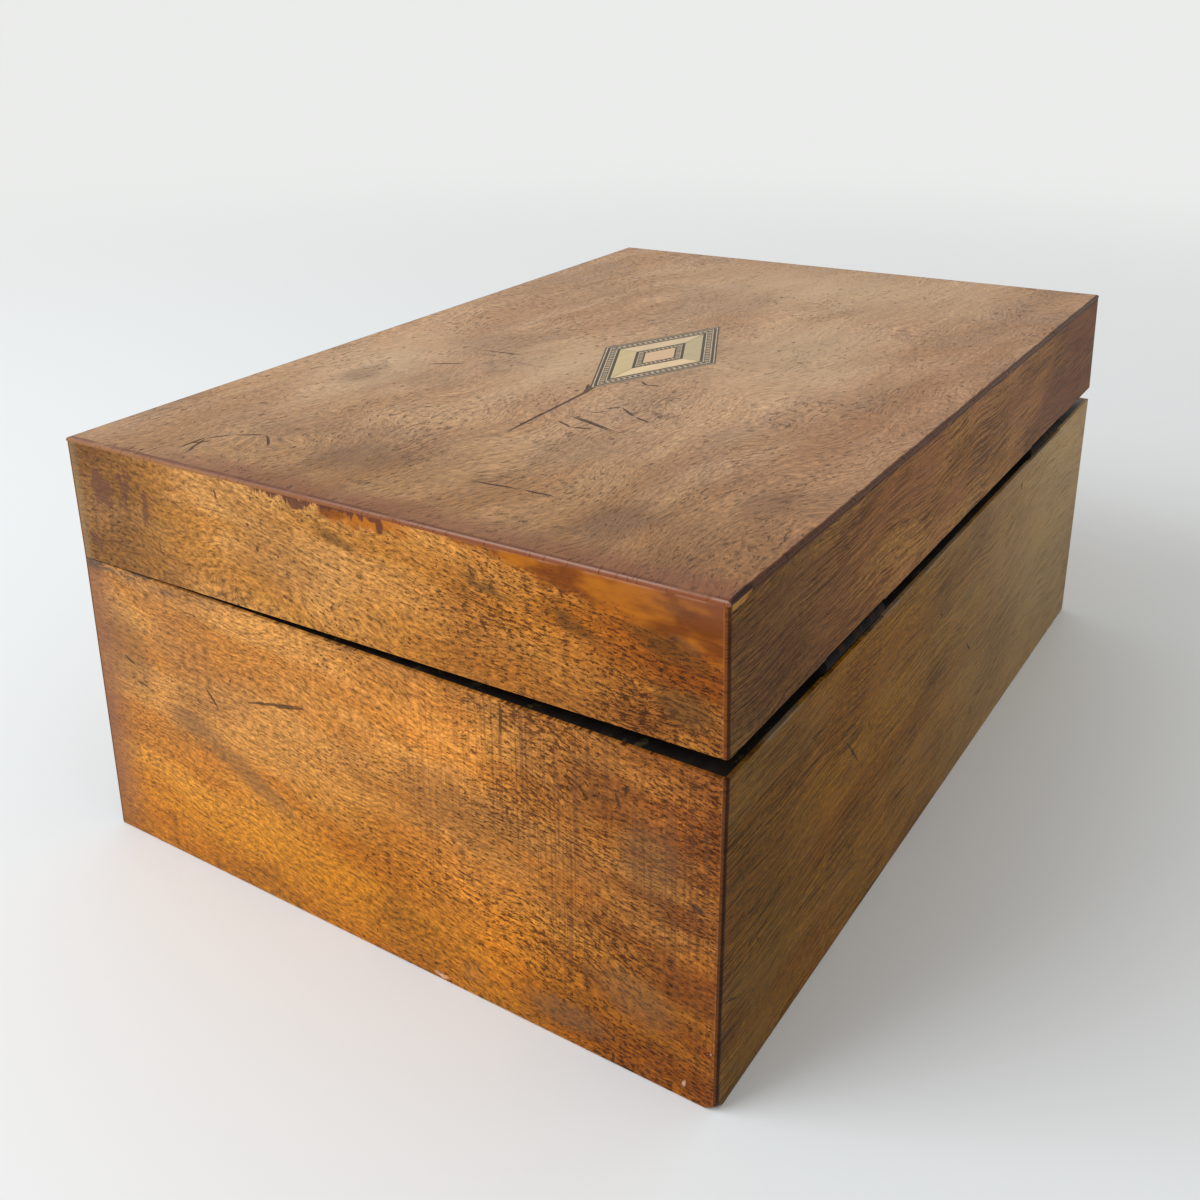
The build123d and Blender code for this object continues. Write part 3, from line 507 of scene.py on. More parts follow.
wood = lid_right.mix(smoky * 0.65, wood, (0.1, 0.045, 0.012))
amber_glow = blot(lid_right, drawn, (80, 22), (40, 16), 0, 1.0)
wood = lid_right.mix(amber_glow * 0.8, wood, (1.0, 0.78, 0.3), "MULTIPLY")
below_edge = lid_height_mm - z
ripple = lid_right.noise(face, (9, 6), 3, 0.7, 2.0) * 8 - 4
run_depth = lid_right.step(y, 20, 70) * 7 + lid_right.step(y, 62, 104) * 7
runs = lid_right.step(run_depth + ripple - below_edge, -1.8, 1.8) * lid_right.step(y, 22, 40)
dab = lid_right.step(4.4 + ripple * 0.8 - below_edge, -0.5, 1.4)
dab = dab * lid_right.step(y, -9, -7) * lid_right.step(y, 24, 8)
runs = lid_right.maths("MAXIMUM", runs, dab)
wood = lid_right.mix(runs * 0.9, wood, (0.85, 0.55, 0.2), "MULTIPLY")
pooled = lid_right.step(lid_right.noise(face, (22, 8), 3, 0.6, 7.0), 0.34, 0.62)
glaze = lid_right.mix(pooled, (0.42, 0.13, 0.006), (0.16, 0.04, 0.003))
wood = lid_right.mix(runs * 0.88, wood, glaze)
plum = lid_right.step(y, 64, 98) * lid_right.step(below_edge, 9, 1) * runs
wood = lid_right.mix(plum * 0.5, wood, (0.22, 0.075, 0.04))
bruises = blots(lid_right, drawn, [((91, 23), (6, 1.8), -16), ((88, 31), (7, 2), -10)])
wood = lid_right.mix(bruises * 0.5, wood, (0.1, 0.038, 0.016))
jagged = lid_right.noise(face, (3.2, 30), 3, 0.8, 8.0) * 7 - 1.7
ragged = lid_right.step(jagged - below_edge, -0.3, 0.3)
ragged = ragged * lid_right.step(y, -34, -27) * lid_right.step(y, 12, 6)
drip = blots(
    lid_right, shaken(lid_right, face, 2, 1.5),
    [((11, 32.5), (1.3, 2.6), 0), ((9.5, 33.5), (2.4, 1.2), 0), ((-15, 32.5), (3, 1.8), 0)], 0.3
)
wood = lid_right.mix(lid_right.maths("MAXIMUM", ragged, drip) * 0.88, wood, (0.1, 0.03, 0.018))
dots = blots(
    lid_right, shaken(lid_right, face, 3, 0.8),
    [((-43, 29.5), (0.4, 1.7), 12), ((-30.5, 31), (0.5, 0.4), 0), ((-32.5, 23.5), (0.6, 0.5), 0),
     ((-30, 17.5), (0.5, 0.9), 0), ((-23, 17), (0.5, 0.5), 0), ((-13.5, 28.5), (0.7, 0.5), 0),
     ((-20.5, 13), (0.4, 0.4), 0), ((-6.5, 7.5), (0.5, 0.4), 0), ((-22, 6.5), (0.9, 0.5), -20),
     ((17.5, 4.5), (0.7, 0.4), -20)],
    0.5,
)
wood = lid_right.mix(dots * 0.8, wood, (0.06, 0.025, 0.02))
olive = lid_right.step(y, -95, -99)
wood = lid_right.mix(olive * 0.6, wood, (0.26, 0.19, 0.09))
# A broken pale line along the upper edge, towards the back: a painted highlight on the rounded, polished
# edge.
upper_edge_highlight = lid_right.step(below_edge, 1.7, 1.0) * lid_right.step(
    lid_right.noise(face, (12, 40), 3, 0.7, 3.0), 0.4, 0.58
)
wood = lid_right.mix(upper_edge_highlight * lid_right.step(y, 10, 60) * 0.5, wood, (0.4, 0.2, 0.13))
arris = lid_right.step(abs(y), half_depth_mm - 1.6, half_depth_mm - 0.9)
wood = lid_right.mix(arris * 0.6, wood, (0.3, 0.1, 0.04))
bare = 1 - runs
relief = (flecks * 0.35 - pores * 0.5) * bare - dots * 0.4 + runs * 0.3 + ragged * 0.3
lid_right.finish_off(wood, flecks * 0.3 + 0.28 - runs * 0.16, relief, 0.35)
dress(lid_right, "lid_right_veneer")

lid_left = Finish("walnut_lid_left_end", Specular_IOR_Level=polish)
_, y, z = lid_left.axes(lid_left.place(on_lid=True))
face = lid_left.join(y, z)
wood, pores, flecks, _ = figure(lid_left, face, lid_end_tones, end_grain, 53.0)
below_edge = lid_height_mm - z
edge_noise = lid_left.noise(face, (14, 9), 3, 0.6, 2.0) * 9 - 2.5
runs = lid_left.step(edge_noise - below_edge, -1.2, 1.6)
wood = lid_left.mix(runs * 0.6, wood, (0.36, 0.1, 0.015))
arris = lid_left.step(abs(y), half_depth_mm - 1.2, half_depth_mm - 0.5)
wood = lid_left.mix(arris * 0.85, wood, varnish)
lid_left.finish_off(wood, flecks * 0.3 + 0.28 - runs * 0.15, flecks * 0.35 - pores * 0.5, 0.35)
dress(lid_left, "lid_left_veneer")


lid_side_tones = ((0.29, 0.134, 0.03), (0.215, 0.088, 0.018), (0.17, 0.083, 0.024), wax)


def long_lid_side(name, cad_name, seed, chipped):
    """The veneer of the lid's back or front, with a chip that shows orange wood where asked for."""
    side = Finish(name, Specular_IOR_Level=polish / 2)
    x, _, z = side.axes(side.place(on_lid=True))
    face = side.join(x, z)
    wood, pores, flecks, _ = figure(side, face, lid_side_tones, side_grain, seed)
    ruddy = side.step(side.noise(face, (60, 24), 3, 0.6, seed), 0.44, 0.62)
    wood = side.mix(ruddy * 0.35, wood, (0.24, 0.09, 0.04))
    handled = side.step(x, 70, 128)
    wood = side.scale(wood, 1 - handled * 0.42)
    far_end = side.step(x, -40, -120)
    wood = side.mix(far_end * 0.9, wood, (0.72, 0.5, 0.25), "MULTIPLY")
    middle = side.step(x, 90, 40) * side.step(x, -100, -30)
    wood = side.scale(wood, middle * 0.22 + 1.0)
    below_edge = lid_height_mm - z
    wavy = side.noise(face, (10, 40), 3, 0.6, seed + 2)
    line = side.step(below_edge, 2.1, 1.3) * side.step(wavy, 0.3, 0.42)
    wood = side.mix(line * 0.85, wood, (0.05, 0.012, 0.006))
    chips = blots(side, shaken(side, face, 3, 1.4, seed), chipped, 0.25)
    wood = side.mix(chips * 0.85, wood, (0.45, 0.21, 0.045))
    arris = side.step(abs(x) + edge_waver(side, face), half_length_mm - 1.4, half_length_mm - 0.7)
    wood = side.mix(arris * 0.9, wood, (0.06, 0.016, 0.006))
    end_edge = side.step(abs(x), half_length_mm - 0.2, half_length_mm - 0.05)
    wood = side.mix(end_edge * 0.8, wood, (0.2, 0.062, 0.012))
    side.finish_off(wood, flecks * 0.3 + 0.28, flecks * 0.3 - pores * 0.6 - chips * 0.4, 0.4)
    dress(side, cad_name)


long_lid_side(
    "walnut_lid_back", "lid_back_veneer", 31.0,
    [((140, 34), (6, 1.7), -4), ((144.5, 32.5), (0.8, 2.4), 0)],
)
long_lid_side(
    "walnut_lid_front", "lid_front_veneer", 83.0,
    [((-60, 34.5), (4, 1.4), 0), ((30, 0), (3, 0.9), 0)],
)

top = Finish("walnut_lid_top", Specular_IOR_Level=polish)
x, y, _ = top.axes(top.place(on_lid=True))
face = top.join(x, y)
tan = (0.47, 0.285, 0.16)
fawn = (0.4, 0.225, 0.118)
grey_brown = (0.3, 0.185, 0.115)
dark_pores = (0.13, 0.065, 0.03)
top_grain = {
    "slope": 0.14, "swirl": 30, "line": (24, 1.4), "streaks": 0.7, "flecks": 1.9, "smoke": 0.5,
    "pore": (3.8, 1.1), "threshold": 0.64, "depth": 0.6, "crowding": even,
}
wood, pores, flecks, _ = figure(top, face, (tan, fawn, grey_brown, dark_pores), top_grain, 5.0)
drawn = shaken(top, face, 9, 7.0)
# Paler, greyer patches: worn polish in the middle, and over the far end a painted reflection of pale
# surroundings, seen at a glancing angle.
wear_and_sheen = blots(
    top, drawn,
    [((-20, 40), (70, 45), 20), ((20, -20), (55, 30), 0), ((50, -72), (60, 26), 10),
     ((-110, 10), (60, 90), 0)],
    1.0,
)
wood = top.mix(wear_and_sheen * 0.55, wood, (0.56, 0.39, 0.24))
near_end = top.step(x, 62, 132) * top.step(y, -100, -20, 0.3, 1.0)
wood = top.mix(near_end * 0.9, wood, (0.74, 0.65, 0.5), "MULTIPLY")
ruddy_back = top.step(y + top.noise(face, (40, 30), 2, 0.5, 14.0) * 50 - 25, 50, 92)
ruddy_back = ruddy_back * top.step(x, -130, -10, 0.25, 0.8)
wood = top.mix(ruddy_back, wood, (0.76, 0.66, 0.6), "MULTIPLY")
ruddy_edge = top.step(x + top.noise(face, (12, 12), 2, 0.6, 4.0) * 6, 135, 145) * top.step(y, -90, -40)
wood = top.mix(ruddy_edge * 0.6, wood, (0.2, 0.07, 0.04))
shadowed = blots(
    top, drawn,
    [((118, -20), (14, 20), 10), ((122, 60), (16, 12), 0), ((96, 84), (14, 8), 0),
     ((60, -70), (16, 8), 10), ((52, 31), (3, 5), 10),
     ((40, -34), (5, 4), 0), ((32, -42), (4, 3), 0)],
)
wood = top.mix(shadowed * 0.4, wood, (0.15, 0.08, 0.05))
crack = scratches(
    top, shaken(top, face, 4, 0.7, 8.0),
    [[(85.5, 2), (60, 1.5)], [(72, 1.5), (46, 1.5)], [(58, 1.5), (33, 0.5)], [(46, 1), (36, -1.5)]],
    0.6,
)
cuts = scratches(
    top, shaken(top, face, 5, 0.9, 5.0),
    [[(41.5, -0.5), (37, -2.5)], [(138, -61), (127, -65.5)], [(132, -66.5), (127.5, -62)],
     [(136, -66), (126.5, -66)], [(127, -65.5), (121.5, -61), (117, -53), (123.5, -45.5)],
     [(64, 8), (70.5, 27.5)], [(63.5, 9), (70, 28)], [(69.5, 8.5), (72.5, 15), (71, 20.5)],
     [(54.5, 14.5), (51, 17.5), (57, 25.5), (59, 31)], [(59.5, 13), (56.5, 16)],
     [(22, -54.5), (20, -37.5)], [(43, -59.5), (36, -47.5)], [(27.5, 10), (30, 13.5), (28.5, 17)],
     [(117.5, 15), (116, 30.5), (116, 40)]],
    0.5,
)
cuts = top.maths("MAXIMUM", crack, cuts)
wood = top.mix(cuts * 0.9, wood, (0.05, 0.02, 0.012))
nick_distance, nick_chance = top.cells(face, (11, 7), 3.0)
pecked = blot(top, drawn, (52, 30), (46, 46), 0, 1.0)
nicks = top.step(nick_chance * 0.16 + pecked * 0.04 - 0.07 - nick_distance, -0.02, 0.03)
wood = top.mix(nicks * 0.6, wood, (0.09, 0.045, 0.03))
beyond = abs(y) - half_depth_mm + edge_waver(top, face)
dark_edges = top.maths("MAXIMUM", top.step(beyond, -1.1, -0.6), top.step(x, -143.8, -144.5))
wood = top.mix(dark_edges * 0.85, wood, (0.05, 0.012, 0.006))
# Along the edge over the near end: a broken dark red line, and outside it a broken pale line that is a
# painted highlight on the rounded edge.
worn_and_lit_stretches = top.step(top.noise(face, (16, 16), 3, 0.6, 1.0), 0.3, 0.5, 0.3, 1.0)
red_line = top.step(x, 142.8, 143.8) * worn_and_lit_stretches
wood = top.mix(red_line * 0.7, wood, (0.12, 0.035, 0.02))
top_edge_highlight = top.step(x, 144.2, 144.5) * worn_and_lit_stretches * top.step(y, -60, 60, 0.3, 1.0)
wood = top.mix(top_edge_highlight * 0.6, wood, (0.44, 0.28, 0.22))
end_edge = top.mix(top.step(y, -60, 40), (0.3, 0.13, 0.05), (0.21, 0.055, 0.014))
wood = top.mix(top.step(x, 144.7, 144.9) * 0.9, wood, end_edge)
torn = blots(top, shaken(top, face, 3, 1.0, 2.0), [((139.5, 100), (6, 1.1), 4)], 0.4)
wood = top.mix(torn * 0.9, wood, (0.026, 0.011, 0.005))
relief = flecks * 0.35 - pores * 0.45 - cuts * 0.5 - nicks * 0.3
craze = top.noise(face, (18, 14), 4, 0.6, 9.0)
top.finish_off(wood, flecks * 0.3 + craze * 0.2 + 0.16, relief, 0.62)
dress(top, "lid_top_veneer")


# Ebonised rims of base and lid: thin strips of pearwood, stained black and waxed, that take the
# wear where the two halves meet. Their outer edges are rubbed to brown here and there.

black_rim = Finish("ebonised_pear", Roughness=0.4)
x, y, _ = black_rim.axes(black_rim.place())
face = black_rim.join(x, y)
sheen = black_rim.noise(face, (24, 5), 3, 0.6, 1.0)
bare = black_rim.step(black_rim.noise(face, (5, 4), 3, 0.7, 6.0), 0.6, 0.72)
wood = black_rim.mix(sheen, (0.006, 0.005, 0.005), (0.02, 0.015, 0.012))
wood = black_rim.mix(bare * 0.6, wood, (0.09, 0.065, 0.025))
black_rim.finish_off(wood, sheen * 0.3 + 0.25, sheen - bare, 0.06)
dress(black_rim, "base_rim", "lid_rim")


# Lozenge inlaid in the lid: a banding of ebony and holly with a chequered line in it, four
# mitred panels of pale holly, a finer chequered band, and a lozenge of pinkish pear wood.

inlay_half_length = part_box("inlay_banding")[1].x / mm
inlay_half_width = (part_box("inlay_banding")[1].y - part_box("inlay_banding")[0].y) / 2 / mm
inlay_side = math.hypot(inlay_half_length, inlay_half_width)
ebony = (0.062, 0.052, 0.038)
holly = (0.56, 0.41, 0.27)


def lozenge_lines(finish, outline_half, stops, pitch, row_start, row_end):
    """A banding of lines at the given depths from its outline, in millimetres, with a chequered row."""
    x, y, _ = finish.axes(finish.place(on_lid=True))
    face = finish.join(x, y)
    slope = inlay_half_width / inlay_half_length
    across_half = outline_half * slope
    normal_length = outline_half * across_half / math.hypot(outline_half, across_half)
    outward = abs(x) / outline_half + abs(y) / across_half
    depth = (1 - outward) * normal_length
    along = (abs(x) * inlay_half_length - abs(y) * inlay_half_width) / inlay_side
    lines = finish.node("ValToRGB", {}, {"Fac": depth / stops[-1][0]})
    ramp = lines.socket.node.color_ramp
    ramp.interpolation = "CONSTANT"
    while len(ramp.elements) < len(stops) - 1:
        ramp.elements.new(0.5)
    for element, (place, shade) in zip(ramp.elements, stops):
        element.position = place / stops[-1][0]
        element.color = (shade, shade, shade, 1)
    wave = finish.maths("SINE", along * (2 * math.pi / pitch))
    chequer = finish.step(wave, -0.15, 0.15)
    in_row = finish.step(depth, row_start - 0.04, row_start + 0.04)
    in_row = in_row * finish.step(depth, row_end + 0.04, row_end - 0.04)
    pale = finish.maths("MAXIMUM", lines * (1 - in_row), chequer * in_row)
    age = finish.noise(face, (3, 2), 3, 0.6, 2.0)
    wood = finish.mix(pale * (age * 0.5 + 0.6), ebony, holly)
    wood = finish.scale(wood, age * 0.5 + 0.75)
    return wood, age


banding = Finish("ebony_and_holly_banding", Roughness=0.4, Specular_IOR_Level=polish)
banding_depth = 5.0
wood, age = lozenge_lines(
    banding, inlay_half_length,
    [(0, 0), (0.45, 1), (0.85, 0), (1.7, 1), (2.1, 0), (3.7, 1), (4.1, 0), (banding_depth, 0)],
    2.0, 2.3, 3.5,
)
banding.finish_off(wood, age * 0.2 + 0.28, age, 0.04)
dress(banding, "inlay_banding")

inner_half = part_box("inlay_inner_band")[1].x / mm
fine_band = Finish("fine_chequered_band", Roughness=0.4, Specular_IOR_Level=polish)
fine_depth = 3.0
wood, age = lozenge_lines(
    fine_band, inner_half, [(0, 0), (0.9, 1), (1.2, 0), (2.6, 0), (fine_depth, 0)], 1.6, 1.3, 2.5
)
fine_band.finish_off(wood, age * 0.2 + 0.28, age, 0.04)
dress(fine_band, "inlay_inner_band")

panels = Finish("holly_panels", Roughness=0.38, Specular_IOR_Level=polish)
x, y, _ = panels.axes(panels.place(on_lid=True))
face = panels.join(x, y)
grain = panels.noise(face, (9, 0.8), 3, 0.6, 3.0)
yellowed = panels.noise(face, (7, 5), 2, 0.5, 6.0)
to_right = panels.step(x, -0.1, 0.1)
to_back = panels.step(y, -0.1, 0.1)
front_pair = panels.mix(to_right, (0.63, 0.47, 0.29), (0.54, 0.42, 0.22))
back_pair = panels.mix(to_right, (0.46, 0.37, 0.21), (0.7, 0.52, 0.31))
wood = panels.mix(to_back, front_pair, back_pair)
wood = panels.scale(wood, grain * 0.3 + yellowed * 0.2 + 0.75)
mitre = panels.maths("MINIMUM", abs(x), abs(y))
wood = panels.mix(panels.step(mitre, 0.22, 0.05) * 0.7, wood, (0.12, 0.08, 0.05))
panels.finish_off(wood, grain * 0.2 + 0.25, grain, 0.03)
dress(panels, "inlay_panels")

heart = Finish("pear_heart", Roughness=0.4, Specular_IOR_Level=polish)
x, y, _ = heart.axes(heart.place(on_lid=True))
grain = heart.noise(heart.join(x, y), (6, 0.7), 3, 0.6, 3.0)
wood = heart.mix(grain, (0.56, 0.37, 0.22), (0.68, 0.46, 0.28))
heart.finish_off(wood, grain * 0.2 + 0.28, grain, 0.03)
dress(heart, "inlay_centre")


# Lock, bolt and link plate: sheet brass, sawn and filed, screwed to the front wall and to the lid.
# The brass has gone brown but where it is rubbed. The bolt and the screws are plain iron, and the
# lozenge round the keyhole is a slip of yellowed bone, let in flush.

lock_brass = Finish("old_brass", Metallic=1.0, Roughness=0.35)
x, y, z = lock_brass.axes(lock_brass.place())
face = lock_brass.join(x, y + z * 0.8)
patina = lock_brass.noise(face, (6, 5), 4, 0.65, 1.0)
brushed = lock_brass.noise(face, (9, 0.25), 2, 0.6, 5.0)
brown_spots = lock_brass.step(lock_brass.noise(face, (2.2, 2.2), 3, 0.7, 7.0), 0.52, 0.7)
brass = lock_brass.mix(lock_brass.step(patina, 0.35, 0.65), (0.62, 0.42, 0.17), (0.36, 0.22, 0.08))
brass = lock_brass.mix(brown_spots * 0.7, brass, (0.12, 0.07, 0.03))
lock_brass.finish_off(brass, patina * 0.3 + brown_spots * 0.2 + 0.2, brushed - brown_spots, 0.03)
dress(lock_brass, "lock_case", "lock_selvedge", "link_plate")

iron = Finish("screw_iron", Metallic=1.0, Roughness=0.45)
x, y, z = iron.axes(iron.place())
face = iron.join(x, y + z * 0.8)
tarnish = iron.noise(face, (2.5, 2.5), 4, 0.7, 2.0)
metal = iron.mix(iron.step(tarnish, 0.4, 0.62), (0.3, 0.29, 0.28), (0.13, 0.1, 0.08))
iron.finish_off(metal, tarnish * 0.4 + 0.2, tarnish, 0.03)
dress(iron, "lock_bolt", "lock_screws", "link_plate_screws")

bone = Finish("bone", Roughness=0.32)
bone.shader.inputs["Subsurface Weight"].default_value = 0.15
bone.shader.inputs["Subsurface Radius"].default_value = (0.0012, 0.0008, 0.0005)
x, y, z = bone.axes(bone.place())
face = bone.join(z + y * 0.3, x + y * 0.7)
pits = bone.noise(face, (3.5, 0.16), 2, 0.6, 4.0)
age = bone.noise(face, (5, 3), 3, 0.6, 2.0)
ivory = bone.mix(bone.step(age, 0.35, 0.7), (0.76, 0.68, 0.52), (0.62, 0.49, 0.3))
ivory = bone.mix(bone.step(pits, 0.62, 0.74) * 0.55, ivory, (0.3, 0.2, 0.1))
bone.finish_off(ivory, age * 0.25 + 0.18, pits, 0.02)
dress(bone, "keyhole_escutcheon")


# Butt hinges: cast and filed iron leaves with three knuckles on a turned pin, let into the rims at
# the back. They are japanned a dull black, with brown rust where that has gone, and held by plain
# iron screws.

black_iron = Finish("hinge_iron", Specular_IOR_Level=0.02)
x, y, z = black_iron.axes(black_iron.place())
face = black_iron.join(x, y + z * 0.9)
pitting = black_iron.noise(face, (1.6, 1.6), 4, 0.7, 2.0)
rust = black_iron.step(black_iron.noise(face, (5, 4), 4, 0.7, 5.0), 0.5, 0.66)
metal = black_iron.mix(pitting, (0.005, 0.005, 0.006), (0.02, 0.018, 0.018))
metal = black_iron.mix(rust * 0.6, metal, (0.05, 0.022, 0.01))
black_iron.finish_off(metal, pitting * 0.4 + 0.4, pitting, 0.05)
dress(
    black_iron, "left_hinge_lower_leaf", "right_hinge_lower_leaf", "left_hinge_upper_leaf",
    "right_hinge_upper_leaf", "hinge_pins",
)
dress(iron, "lower_hinge_screws", "upper_hinge_screws")


# Lining: thin blue paper pasted to the inside of base and lid. It is watered, has faded where
# light reached it, and has foxed and rubbed at its edges.

lining = Finish("blue_lining_paper", Roughness=0.8)
x, y, z = lining.axes(lining.place())
face = lining.join(x + y * 0.9, z + y * 0.31 + x * 0.17)
watered = lining.noise(face, (26, 2.4), 3, 0.6, 2.0)
pulp = lining.noise(face, (0.9, 0.5), 3, 0.7, 6.0)
foxing = lining.step(lining.noise(face, (4.5, 4.5), 3, 0.65, 9.0), 0.63, 0.74)
faded = lining.noise(face, (70, 40), 2, 0.5, 3.0)
sheet = lining.mix(lining.step(faded, 0.3, 0.7), (0.12, 0.21, 0.29), (0.2, 0.29, 0.34))
sheet = lining.mix(lining.step(watered, 0.42, 0.6) * 0.35, sheet, (0.27, 0.37, 0.42))
sheet = lining.mix(foxing * 0.5, sheet, (0.26, 0.2, 0.12))
sheet = lining.scale(sheet, pulp * 0.4 + 0.8)
lining.finish_off(sheet, None, pulp + watered, 0.05)
dress(lining, "base_wall_paper", "base_floor_paper", "lid_wall_paper")


# Tray, its ledges and the two pocket lids: cedar planed two to three millimetres thick, glued at the
# corners and waxed, with the grain along each strip. Each pocket lid has a knob turned from bone.


def cedar(name, names, along_y, seed):
    """Waxed cedar with the grain along X or along Y."""
    wax_wood = Finish(name, Roughness=0.45)
    x, y, z = wax_wood.axes(wax_wood.place())
    along, across = (y, x) if along_y else (x, y)
    face = wax_wood.join(along, across + z)
    wave = wax_wood.noise(face, (60, 5), 3, 0.6, seed)
    lines = wax_wood.noise(face, (18, 0.5), 3, 0.65, seed + 2)
    distance, chance = wax_wood.cells(face, (3.5, 0.5), seed)
    pores = wax_wood.step(chance * 0.34 - distance, 0, 0.08)
    wood = wax_wood.mix(wax_wood.step(wave, 0.35, 0.65), (0.42, 0.17, 0.075), (0.28, 0.095, 0.038))
    wood = wax_wood.scale(wood, lines * 0.5 + 0.75)
    wood = wax_wood.mix(pores * 0.6, wood, (0.09, 0.03, 0.014))
    handled = wax_wood.step(wax_wood.noise(face, (20, 14), 3, 0.6, seed + 4), 0.5, 0.7)
    wood = wax_wood.mix(handled * 0.3, wood, (0.16, 0.075, 0.04))
    wax_wood.finish_off(wood, lines * 0.25 + 0.3, lines - pores, 0.05)
    dress(wax_wood, *names)


cedar(
    "cedar_lengthwise",
    ["tray_front_wall", "tray_back_wall", "tray_bottom", "tray_bay_dividers", "tray_ledge_front",
     "tray_ledge_back", "left_pocket_lid", "right_pocket_lid"],
    False, 4.0,
)
cedar(
    "cedar_crosswise",
    ["tray_end_walls", "tray_cross_dividers", "tray_ledge_left", "tray_ledge_right"],
    True, 15.0,
)
dress(bone, "left_pocket_knob", "right_pocket_knob")


# Silk pad under the lid's top: wadding on card, covered in blue silk and drawn down to the card
# by fifteen sewn buttons, so that it swells between them and the silk puckers around each.

card = Finish("buff_card", Roughness=0.85)
x, y, z = card.axes(card.place(on_lid=True))
pulp = card.noise(card.join(x, y + z), (1.2, 0.8), 4, 0.7, 2.0)
sheet = card.mix(pulp, (0.3, 0.24, 0.16), (0.46, 0.38, 0.27))
card.finish_off(sheet, None, pulp, 0.05)
dress(card, "lid_pad_board")

silk = Finish("blue_silk", Roughness=0.42)
silk.shader.inputs["Sheen Weight"].default_value = 0.4
silk.shader.inputs["Sheen Roughness"].default_value = 0.35
silk.shader.inputs["Sheen Tint"].default_value = (0.6, 0.75, 0.85, 1)
x, y, z = silk.axes(silk.place())
face = silk.join(x, y + z * 0.6)
slubs = silk.noise(face, (7, 0.35), 3, 0.7, 2.0)
threads = silk.noise(face, (0.35, 3.0), 2, 0.7, 4.0)
faded = silk.noise(face, (60, 45), 3, 0.5, 6.0)
cloth = silk.mix(silk.step(faded, 0.3, 0.7), (0.13, 0.26, 0.36), (0.22, 0.36, 0.43))
cloth = silk.scale(cloth, slubs * 0.45 + threads * 0.3 + 0.63)
silk.finish_off(cloth, slubs * 0.2 + 0.3, slubs + threads, 0.04)


def merged_copy(cad_name, name):
    """A copy of a CAD solid with its loose triangles joined, ready to be reshaped."""
    bpy.ops.object.select_all(action="DESELECT")
    copy = nodes[cad_name].copy()
    copy.data = nodes[cad_name].data.copy()
    copy.name = name
    copy.data.name = name
    copy.parent = None
    bpy.context.scene.collection.objects.link(copy)
    copy.select_set(True)
    bpy.context.view_layer.objects.active = copy
    bpy.ops.object.mode_set(mode="EDIT")
    bpy.ops.mesh.select_all(action="SELECT")
    bpy.ops.mesh.remove_doubles(threshold=1e-5)
    bpy.ops.mesh.normals_make_consistent(inside=False)
    bpy.ops.object.mode_set(mode="OBJECT")
    copy.data.materials.clear()
    return copy


cloth_grid = 3 * mm
swelling_frames = 20


def swell(pad, pressure, is_sewn, furthest):
    """Blow a pad up like cloth over wadding, held where it is sewn, and cap how far it moves."""
    pad.data.remesh_voxel_size = cloth_grid
    pad.data.remesh_voxel_adaptivity = 0
    bpy.ops.object.voxel_remesh()
    start = [vertex.co.copy() for vertex in pad.data.vertices]
    sewn = pad.vertex_groups.new(name="sewn")
    sewn.add([i for i, place in enumerate(start) if is_sewn(place)], 1.0, "REPLACE")
    cloth = pad.modifiers.new("cloth", "CLOTH")
    cloth.settings.quality = 6
    cloth.settings.mass = 0.2
    cloth.settings.tension_stiffness = 12
    cloth.settings.compression_stiffness = 8
    cloth.settings.bending_stiffness = 0.6
    cloth.settings.vertex_group_mass = "sewn"
    cloth.settings.use_pressure = True
    cloth.settings.uniform_pressure_force = pressure
    cloth.settings.effector_weights.gravity = 0
    cloth.collision_settings.use_collision = False
    for frame_number in range(1, swelling_frames + 1):
        bpy.context.scene.frame_set(frame_number)
    blown = pad.evaluated_get(bpy.context.evaluated_depsgraph_get()).to_mesh()
    moved = [vertex.co.copy() for vertex in blown.vertices]
    pad.modifiers.remove(cloth)
    bpy.context.scene.frame_set(1)
    for vertex, old, new in zip(pad.data.vertices, start, moved):
        shift = new - old
        if shift.length > furthest:
            shift = shift * (furthest / shift.length)
        vertex.co = old + shift
    pad.vertex_groups.clear()


def soften(pad, rounds):
    """Smooth a pad's grid away and divide its faces once."""
    smooth = pad.modifiers.new("smooth", "SMOOTH")
    smooth.factor = 0.5
    smooth.iterations = rounds
    bpy.ops.object.modifier_apply(modifier="smooth")
    rounder = pad.modifiers.new("rounder", "SUBSURF")
    rounder.levels = 1
    rounder.render_levels = 1
    bpy.ops.object.modifier_apply(modifier="rounder")


def to_lid(place):
    """A point in metres, in the tilted lid's own frame."""
    return Matrix.Rotation(-lid_tilt, 3, "X") @ (Vector(place) - Vector(lid_origin))


def from_lid(place):
    """A point of the lid's own frame, in the box's frame."""
    return Matrix.Rotation(lid_tilt, 3, "X") @ Vector(place) + Vector(lid_origin)


pad_low, pad_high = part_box("lid_silk_pad")
pad_seat = 24.5 * mm
pad_face = 14.5 * mm
seam_height = 3 * mm
seam_fade = 4 * mm
sewn_radius = 3.5 * mm
wadding_left = 1 * mm
tuft_columns = 5
tuft_rows = 3
tuft_step_x = (pad_high.x - pad_low.x) / tuft_columns
tuft_step_y = (pad_high.y - pad_low.y) / tuft_rows
tufts = [
    ((column - (tuft_columns - 1) / 2) * tuft_step_x, (row - (tuft_rows - 1) / 2) * tuft_step_y)
    for column in range(tuft_columns)
    for row in range(tuft_rows)
]


def sewn_to_card(place):
    local = to_lid(place)
    if local.z > pad_seat - seam_height:
        return True
    return any(math.hypot(local.x - x, local.y - y) < sewn_radius for x, y in tufts)


